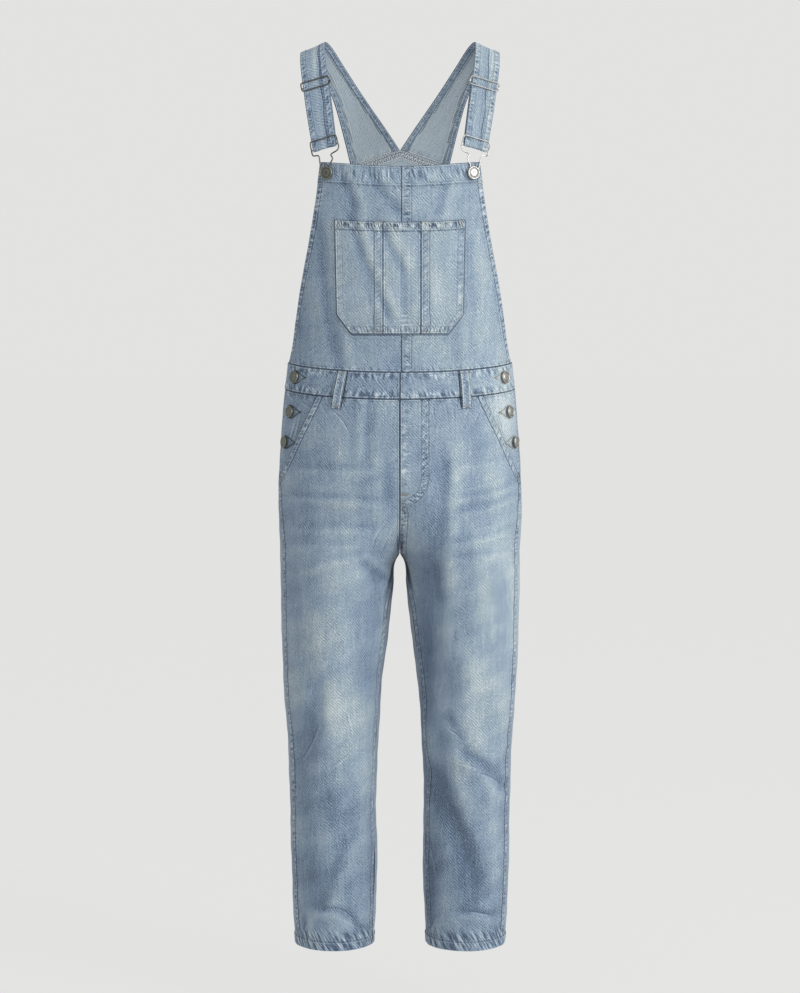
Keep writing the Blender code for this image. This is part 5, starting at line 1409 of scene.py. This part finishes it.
# Straps: denim hemmed along both edges, wide where they are sewn to the back panel's peak. Each
# comes down in front, passes its slider, turns round the buckle's bar and returns to the slider.
STRAP_DENIM = 0.0020
BAR = 0.0009
STRAP_HEM, STRAP_HOLLOW, STRAP_ROWS = 0.0084, 0.0005, 230
SLIDER_STATION = 8.85
STRAP_RETURN_SHIFT = 0.0010
Station = namedtuple("Station", "neck_x neck_y neck_z arm_x arm_y arm_z bulge")
STRAP = table(Station, (
    (4, 958, -1518, 745, 865, -1781, 26), (220, 900, -1200, 828, 820, -1440, 22),
    (432, 785, -905, 910, 750, -1120, 16), (642, 615, -605, 1002, 630, -815, 10),
    (840, 415, -310, 1135, 455, -520, 4), (998, 205, -75, 1310, 235, -265, 0),
    (1092, 0, 0, 1450, 0, -155, 0), (1105, -210, -95, 1466, -200, -240, 0),
    (1085, -380, -330, 1450, -365, -450, 0), (1045, -520, -650, 1408, -500, -755, 0),
    (1000, -660, -980, 1360, -625, -1080, 0), (955, -800, -1330, 1300, -750, -1430, 0),
    (930, -870, -1530, 1262, -815, -1625, 0),
))


def spline(points, at):
    """Smooth curve through evenly numbered points, read at the stations `at`."""
    points = np.asarray(points, dtype=float)
    k = np.clip(np.floor(at).astype(int), 0, len(points) - 2)
    before, after = points[np.maximum(k - 1, 0)], points[np.minimum(k + 2, len(points) - 1)]
    a, b = points[k], points[k + 1]
    from_a, from_b, slope_a, slope_b = cubic((at - k)[:, None])
    return a * from_a + b * from_b + (b - before) / 2 * slope_a + (after - a) / 2 * slope_b


def strap_face(side, stations, columns):
    """Middle layer of the strap's single run, from the back panel to its fold."""
    table = np.array(STRAP)
    neck, arm = (spline(table[:, k : k + 3], stations)[:, None] for k in (0, 3))
    bulge = spline(table[:, 6:7], stations)[:, None]
    grid = neck + columns[:, None] * (arm - neck)
    grid = grid + np.array([0.0, 1.0, 0.0]) * bulge * (4 * columns * (1 - columns))[:, None]
    return grid * np.array([side, 1.0, 1.0])


def strap_normals(side, grid):
    """Unit normals that point away from the body along the strap."""
    return side * unit(np.cross(np.gradient(grid, axis=0), np.gradient(grid, axis=1)))


SLATE = []
# Shares across each strap at which the painted shade of its crease lies, from station 6 to 12
CREASE_SHADE_SHARE = {1: (0.52, 0.60, 0.70), -1: (0.24, 0.30, 0.36)}
strap_columns = dense_ends(30, 0.6)
for side, hand in SIDES:
    stations = np.linspace(0.0, len(STRAP) - 1, STRAP_ROWS)
    front = strap_face(side, stations, strap_columns)
    normal = strap_normals(side, front)
    turn_radius = BAR + SEAM_GAP + STRAP_DENIM / 2
    down = unit(front[-1] - front[-2])
    fold = np.array([
        front[-1] - normal[-1] * turn_radius * (1 - math.cos(a)) + down * turn_radius * math.sin(a)
        for a in np.radians(np.arange(15, 180, 15))
    ])
    slider_row = int(np.argmin(np.abs(stations - SLIDER_STATION)))
    returned = front[slider_row:] - normal[slider_row:] * 2 * turn_radius
    to_neck = unit(front[slider_row:, :1] - front[slider_row:, -1:])
    returned = returned + to_neck * STRAP_RETURN_SHIFT * np.linspace(1.0, 0.3, len(returned))[:, None, None]
    grid = np.concatenate([front, fold, returned[::-1]])
    normal = strap_normals(side, grid)
    gone = run_length(grid, 1)
    from_edge = np.minimum(gone, gone[:, -1:] - gone)
    thick = STRAP_DENIM / 2 + 0.0 * from_edge
    thick = thick - STRAP_HOLLOW * ease((from_edge - STRAP_HEM) / 0.0012) - 0.8 * roll(from_edge)
    piece = lay(grid + normal * thick[..., None], grid - normal * thick[..., None], 0.5, upright=False)
    seams = [
        *(seam_down(piece, at, 0.0042, 0.0040, 0.80, STRAP_HEM, far=0.55) for at in (0.0, LAST)),
        seam_across(piece, 0.0, 0.0050, 0.0060, 0.60),
    ]
    # Painted shadow lines beside the raised hems over the strap's upper part
    for distance in (STRAP_HEM + 0.0032, -STRAP_HEM - 0.0032):
        seams.append(flat_seam(piece, line_down(piece, distance, 0.0, 0.42), 0.0, 0.001, 0.0, edge=0.5))
    # Painted shade of a pressed crease down the front of each strap, which lies flat: a dark line and a dark
    # band at the crease
    crease_shade_share = np.interp(stations, (6.0, 9.0, 12.0), CREASE_SHADE_SHARE[side])
    for begins, ends in ((112, 166), (172, 222)):
        rows = np.linspace(begins, ends, 50)
        share = crease_shade_share[rows.astype(int)] + 0.022 * np.sin(rows / 5.0 + side)
        columns = np.interp(share, strap_columns, np.arange(len(strap_columns)))
        seams.append(flat_seam(piece, (rows, columns), 0.0, 0.001, 0.0, edge=1.0, hand=side))
    for face in (piece, wrong_side(piece)):
        sew_rows(SLATE, face, line_down, (0.0018, 0.0072, -0.0018, -0.0072), 0.004, 0.996, 700)
    sew_rows(SLATE, piece, line_across, (0.0022, 0.0090), 0.03, 0.97)
    x, _, z = np.moveaxis(piece.outer, -1, 0)
    # Lighter over the shoulder; painted light and shade make the left strap, facing the lamp, lighter and
    # the right one darker
    wear = PLAIN_WEAR + 0.05 + 0.10 * ease((z + 0.05) / 0.04) + (0.04 if side > 0 else -0.10)
    row_crease_shade = np.append(crease_shade_share, np.full(len(x) - STRAP_ROWS, crease_shade_share[-1]))[:, None]
    beyond = 2 * (strap_columns - row_crease_shade)
    swell = 0.75 + 0.25 * np.sin(np.linspace(0.0, 22.0, len(x))[:, None] + 3.0 * side)
    # A painted highlight in a band beside the crease and painted shade at it
    wear = wear + 0.26 * swell * bell(beyond, 0.34, 0.26) - 0.22 * swell * bell(beyond, -0.06, 0.13)
    turned_in = (from_edge < STRAP_HEM) + 0.0 * x
    shell(f"strap_{hand}", piece, 0.0 * x, seams, wear, turned_in, 0.6)
threads("strap_sewing", SLATE, SLATE_THREAD)

# Sliders and buckles: bent wire with a soldered cross bar. Each slider holds the strap's end
# behind its centre bar, and each buckle hangs in the strap's fold and slips over its bib button.
WIRE, BAR_REACH = 0.0010, 1.02
SLIDER_HALF_WIDTH, SLIDER_HALF_HEIGHT = 0.0210, 0.0066
BUCKLE_STATION = 11.35
BUCKLE_HALF_WIDTH, BUCKLE_TOP_ROUND, BUCKLE_BELOW_FOLD = 0.0198, 0.0030, 0.0052
Bend = namedtuple("Bend", "arm up out")
BUCKLE_FOOT = table(Bend, (
    (212, 247, 48), (133, 243, 40), (112, 124, 26), (62, 0, 16), (44, -45, 16), (0, -62, 16),
    (-44, -45, 16), (-60, 0, 16), (-42, 111, 26), (-83, 204, 20), (-52, 269, 8), (-135, 330, -20),
))
BIB_BUTTON, BIB_BUTTON_X, BIB_BUTTON_Z = 0.0198, 0.1043, -0.1960
SIDE_BUTTON = 0.0178


def metal(name, colour, roughness, wear):
    """Plated metal in lighter and darker patches, partly rubbed plating and partly painted reflection, and
    finely scratched.
    """
    made, shader, start = finish(name, roughness, 1.0)
    place = start.node("ShaderNodeTexCoord", out="Object")
    large = start.node("ShaderNodeTexNoise", {}, {"Vector": place, "Scale": 260.0, "Detail": 3.0})
    fine = start.node("ShaderNodeTexNoise", {}, {"Vector": place, "Scale": 2400.0, "Detail": 2.0})
    dark = tuple(part * (1 - wear) for part in colour)
    light = tuple(min(1.0, part * (1 + wear)) for part in colour)
    stops = [(0.30, dark), (0.70, light)]
    clean = start.node("ShaderNodeValToRGB", {"stops": stops}, {0: large})
    tarnish = start.node("ShaderNodeAttribute", {"attribute_name": "tarnish"}, out="Fac")
    brown = (0.030, 0.028, 0.022, 1.0)
    link(shader, "Base Color", start.node("ShaderNodeMixRGB", ports={0: tarnish, 1: clean, 2: brown}))
    link(shader, "Roughness", large * 0.20 + (roughness - 0.10))
    bump = start.node("ShaderNodeBump", ports={"Strength": 0.35, "Distance": 0.0002, "Height": fine + large})
    link(shader, "Normal", bump)
    return made


# One plated steel and one pewter, each as a painted-lit copy for the wearer's left, which faces the lamp,
# and a painted-shade copy for the right
STEEL_PAINTED_LIT = metal("steel_painted_lit", (0.52, 0.52, 0.51), 0.42, 0.25)
STEEL_PAINTED_SHADE = metal("steel_painted_shade", (0.125, 0.125, 0.115), 0.42, 0.30)
PEWTER_PAINTED_SHADE = metal("dull_pewter", (0.190, 0.200, 0.170), 0.46, 0.25)
PEWTER_PAINTED_LIT = metal("pewter_painted_lit", (0.380, 0.385, 0.360), 0.44, 0.22)


def wire(route, radius, closed, sides=16):
    """Points and faces of a round wire: rings carried along the route without twisting."""
    route = np.asarray(route, dtype=float)
    ahead = unit(np.roll(route, -1, 0) - np.roll(route, 1, 0) if closed else np.gradient(route, axis=0))
    sideways = [np.cross(ahead[0], [0.3, 0.9, 0.2])]
    for heading in ahead[1:]:
        sideways.append(sideways[-1] - heading * (sideways[-1] @ heading))
    sideways = unit(np.array(sideways))
    other = np.cross(ahead, sideways)
    angle = 2 * math.pi * np.arange(sides) / sides
    ring = np.cos(angle)[:, None] * sideways[:, None] + np.sin(angle)[:, None] * other[:, None]
    points = route[:, None] + radius * ring
    count = len(route)
    here = np.arange(count if closed else count - 1)[:, None]
    shift = np.zeros_like(here)
    if closed:
        shift[-1] = int(np.argmin(np.linalg.norm(points[0] - points[-1, 0], axis=1)))
    faces = tube_faces(here, (here + 1) % count, sides, shift)
    points = points.reshape(-1, 3)
    if not closed:
        ends = []
        for ring_start, inner in ((0, route[0]), ((count - 1) * sides, route[-1])):
            for k in range(0, sides, 2):
                corners = ring_start + (k + np.arange(3)) % sides
                quad = [*corners, len(points)]
                ends.append(quad if ring_start == 0 else quad[::-1])
            points = np.vstack([points, inner])
        faces = np.vstack([faces, np.array(ends)[:, ::-1]])
    return points, faces


def closed_curve(points, steps):
    """Evenly numbered smooth closed curve through points."""
    points = np.asarray(points, dtype=float)
    padded = np.concatenate([points[-1:], points, points[:2]])
    return spline(padded, np.arange(len(points) * steps) / steps + 1.0)


def bent_wire(name, loop, bar, paint):
    """A closed loop with its cross bar in one mesh, in place of the solid of the same name."""
    first, faces = wire(loop, WIRE, True)
    second, more = wire(np.linspace(bar[0], bar[1], 12), BAR, False)
    points, faces = np.vstack([first, second]), np.vstack([faces, more + len(first)])
    made = put_in_scene(f"{name}_wire", points, faces, [paint], crisp=60.0)
    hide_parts(name)


def strap_frame(side, station):
    """Origin on the strap's outer face and its axes: across to the arm, out and down along it."""
    near = np.array([station - 0.05, station, station + 0.05])
    grid = strap_face(side, near, np.array([0.0, 0.5, 1.0]))
    out = strap_normals(side, grid)[1, 1]
    across = unit(grid[1, 2] - grid[1, 0])
    return grid[1, 1] + out * STRAP_DENIM / 2, across, out, np.cross(across, out) * side


def front_frame(x, z, lift):
    """Place on the front, raised by `lift`, and the direction square to the cloth there."""
    step = SIDE_BUTTON / 8
    xs, zs = np.array([x - step, x + step, x, x, x]), np.array([z, z, z - step, z + step, z])
    side = np.where(xs < 0, -1.0, 1.0)
    left, right, low, high, _ = cloth(side, -turn_at(xs, zs), zs, lift)
    away = unit(np.cross(right - left, high - low))
    return cloth(side, -turn_at(xs, zs), zs, 0.0)[4] + away * lift, away


# The left slider and buckle are the painted-lit steel, the right ones the painted-shade steel
for side, hand, paint in ((1, "left", STEEL_PAINTED_LIT), (-1, "right", STEEL_PAINTED_SHADE)):
    origin, across, out, down = strap_frame(side, SLIDER_STATION)
    front, behind = WIRE + SEAM_GAP, -(STRAP_DENIM + SEAM_GAP + BAR)
    w, h = SLIDER_HALF_WIDTH, SLIDER_HALF_HEIGHT
    quarter = [(0.0, front, h), (0.81 * w, front, h), (0.98 * w, 0.7 * front, 0.82 * h)]
    quarter.append((BAR_REACH * w, 0.7 * behind, 0.3 * h))
    route = [(a, b, -c) for a, b, c in quarter] + quarter[::-1]
    route += [(-a, b, c) for a, b, c in quarter[1:]] + [(-a, b, -c) for a, b, c in reversed(quarter[1:])]
    loop = closed_curve([origin + across * a + out * b + down * c for a, b, c in route], 8)
    bar = [origin + across * a + out * behind for a in (-BAR_REACH * w, BAR_REACH * w)]
    bent_wire(f"slider_{hand}", loop, bar, paint)

    origin, across, out, down = strap_frame(side, BUCKLE_STATION)
    fold, fold_across, fold_out, fold_down = strap_frame(side, len(STRAP) - 1)
    foot, away = front_frame(side * BIB_BUTTON_X, BIB_BUTTON_Z, BIB_HEM_RAISE)
    to_arm = unit(np.cross([0.0, 0.0, 1.0], away) * side)
    up = np.cross(away, to_arm) * side
    w = BUCKLE_HALF_WIDTH
    bar = fold - fold_out * (STRAP_DENIM + BAR + SEAM_GAP)
    ends = [bar + fold_across * a for a in (-BAR_REACH * w, BAR_REACH * w)]
    top = [(-w, 0.4 * front, BUCKLE_TOP_ROUND), (BUCKLE_TOP_ROUND - w, front, 0.0), (0.0, front, 0.0)]
    top = top + [(-a, b, c) for a, b, c in reversed(top[:2])]
    loop = [origin + across * a + out * b + down * c for a, b, c in top]
    loop = loop + [ends[1], ends[1] + fold_down * BUCKLE_BELOW_FOLD]
    loop = loop + [foot + to_arm * p.arm + up * p.up + away * p.out for p in BUCKLE_FOOT]
    loop = loop + [ends[0] + fold_down * BUCKLE_BELOW_FOLD, ends[0]]
    bent_wire(f"buckle_{hand}", closed_curve(loop, 8), ends, paint)

# Buttons: plain turned heads on riveted shanks, with a ring round a low dome. One on each end of
# the bib's hem takes a buckle, and three close each side opening.
BIB_BUTTON_STANDOFF, SIDE_BUTTON_STANDOFF = 0.0034, 0.0016
BUTTON_THICK = 0.0032
SIDE_LIFTS, SIDE_TARNISH = [BAND_RAISE, -0.0009, -0.0003], 0.6
AROUND = 64


def turned_button(name, diameter, lift, foot, away, paint, tarnish=1.0):
    """Head turned from a profile of (share of the radius, share of the head's thickness, tarnish):
    back, rim, ring and dome, on a thin shank."""
    r = diameter / 2
    shank = [(0.0, SEAM_GAP, 0.8), (0.37, SEAM_GAP, 0.8), (0.38, SEAM_GAP * 2, 0.8), (0.38, lift, 0.8)]
    head = [
        (0.90, 0.0, 0.8), (0.95, 0.05, 0.7), (0.99, 0.22, 0.6), (1.00, 0.42, 0.45), (0.985, 0.66, 0.25),
        (0.95, 0.84, 0.05), (0.90, 0.94, 0.0), (0.85, 1.00, 0.0), (0.80, 0.95, 0.15), (0.75, 0.80, 0.60),
        (0.69, 0.72, 0.75), (0.63, 0.76, 0.60), (0.56, 0.90, 0.25), (0.48, 0.98, 0.20), (0.36, 1.03, 0.30),
        (0.26, 1.00, 0.45), (0.18, 0.96, 0.55), (0.0, 0.95, 0.50),
    ]
    outline = shank + [(share, lift + rise * BUTTON_THICK, dull) for share, rise, dull in head]
    radius, height, dull = (np.array(column)[:, None, None] for column in zip(*outline))
    first = unit(np.cross(away, [0.0, 0.0, 1.0]))
    second = np.cross(away, first)
    angle = (2 * math.pi * np.arange(AROUND) / AROUND)[:, None]
    points = foot + away * height + radius * r * (np.cos(angle) * first + np.sin(angle) * second)
    here = np.arange(1, len(outline) - 2)[:, None]
    faces = tube_faces(here, here + 1, AROUND)
    points = points.reshape(-1, 3)
    last = (len(outline) - 2) * AROUND
    pairs = np.arange(0, AROUND, 2)
    low = np.stack([AROUND + (pairs + 2) % AROUND, AROUND + pairs + 1, AROUND + pairs, 0 * pairs], -1)
    high = np.stack([last + pairs, last + pairs + 1, last + (pairs + 2) % AROUND, 0 * pairs + 1], -1)
    used = np.vstack([points[:1], points[-1:], points[AROUND : last + AROUND]])
    shift = 2 - AROUND
    caps = [np.where(low > 0, low + shift, 0), np.where(high > 1, high + shift, 1)]
    every = np.vstack([faces + shift, *caps])
    dull = np.repeat(dull, AROUND) * tarnish
    values = {"tarnish": np.concatenate([dull[:1], dull[-1:], dull[AROUND : last + AROUND]])}
    made = put_in_scene(f"{name}_turned", used, every, [paint], values=values, crisp=50.0)
    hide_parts(name)


# Left side buttons are the painted-lit pewter and right ones the painted-shade pewter; the left bib button
# is the painted-lit steel and the right one the painted-shade pewter
for side, hand, paint in ((1, "left", PEWTER_PAINTED_LIT), (-1, "right", PEWTER_PAINTED_SHADE)):
    foot, away = front_frame(side * BIB_BUTTON_X, BIB_BUTTON_Z, BIB_HEM_RAISE)
    head, kind = (STEEL_PAINTED_LIT, "steel") if side > 0 else (PEWTER_PAINTED_SHADE, "pewter")
    turned_button(f"bib_button_{hand}", BIB_BUTTON, BIB_BUTTON_STANDOFF, foot, away, head)
    for number, ((x, z), lift) in enumerate(zip(BUTTON_SPOTS, SIDE_LIFTS), 1):
        foot, away = front_frame(side * x, z, lift)
        name = f"side_button_{hand}_{number}"
        turned_button(name, SIDE_BUTTON, SIDE_BUTTON_STANDOFF, foot, away, paint, SIDE_TARNISH)
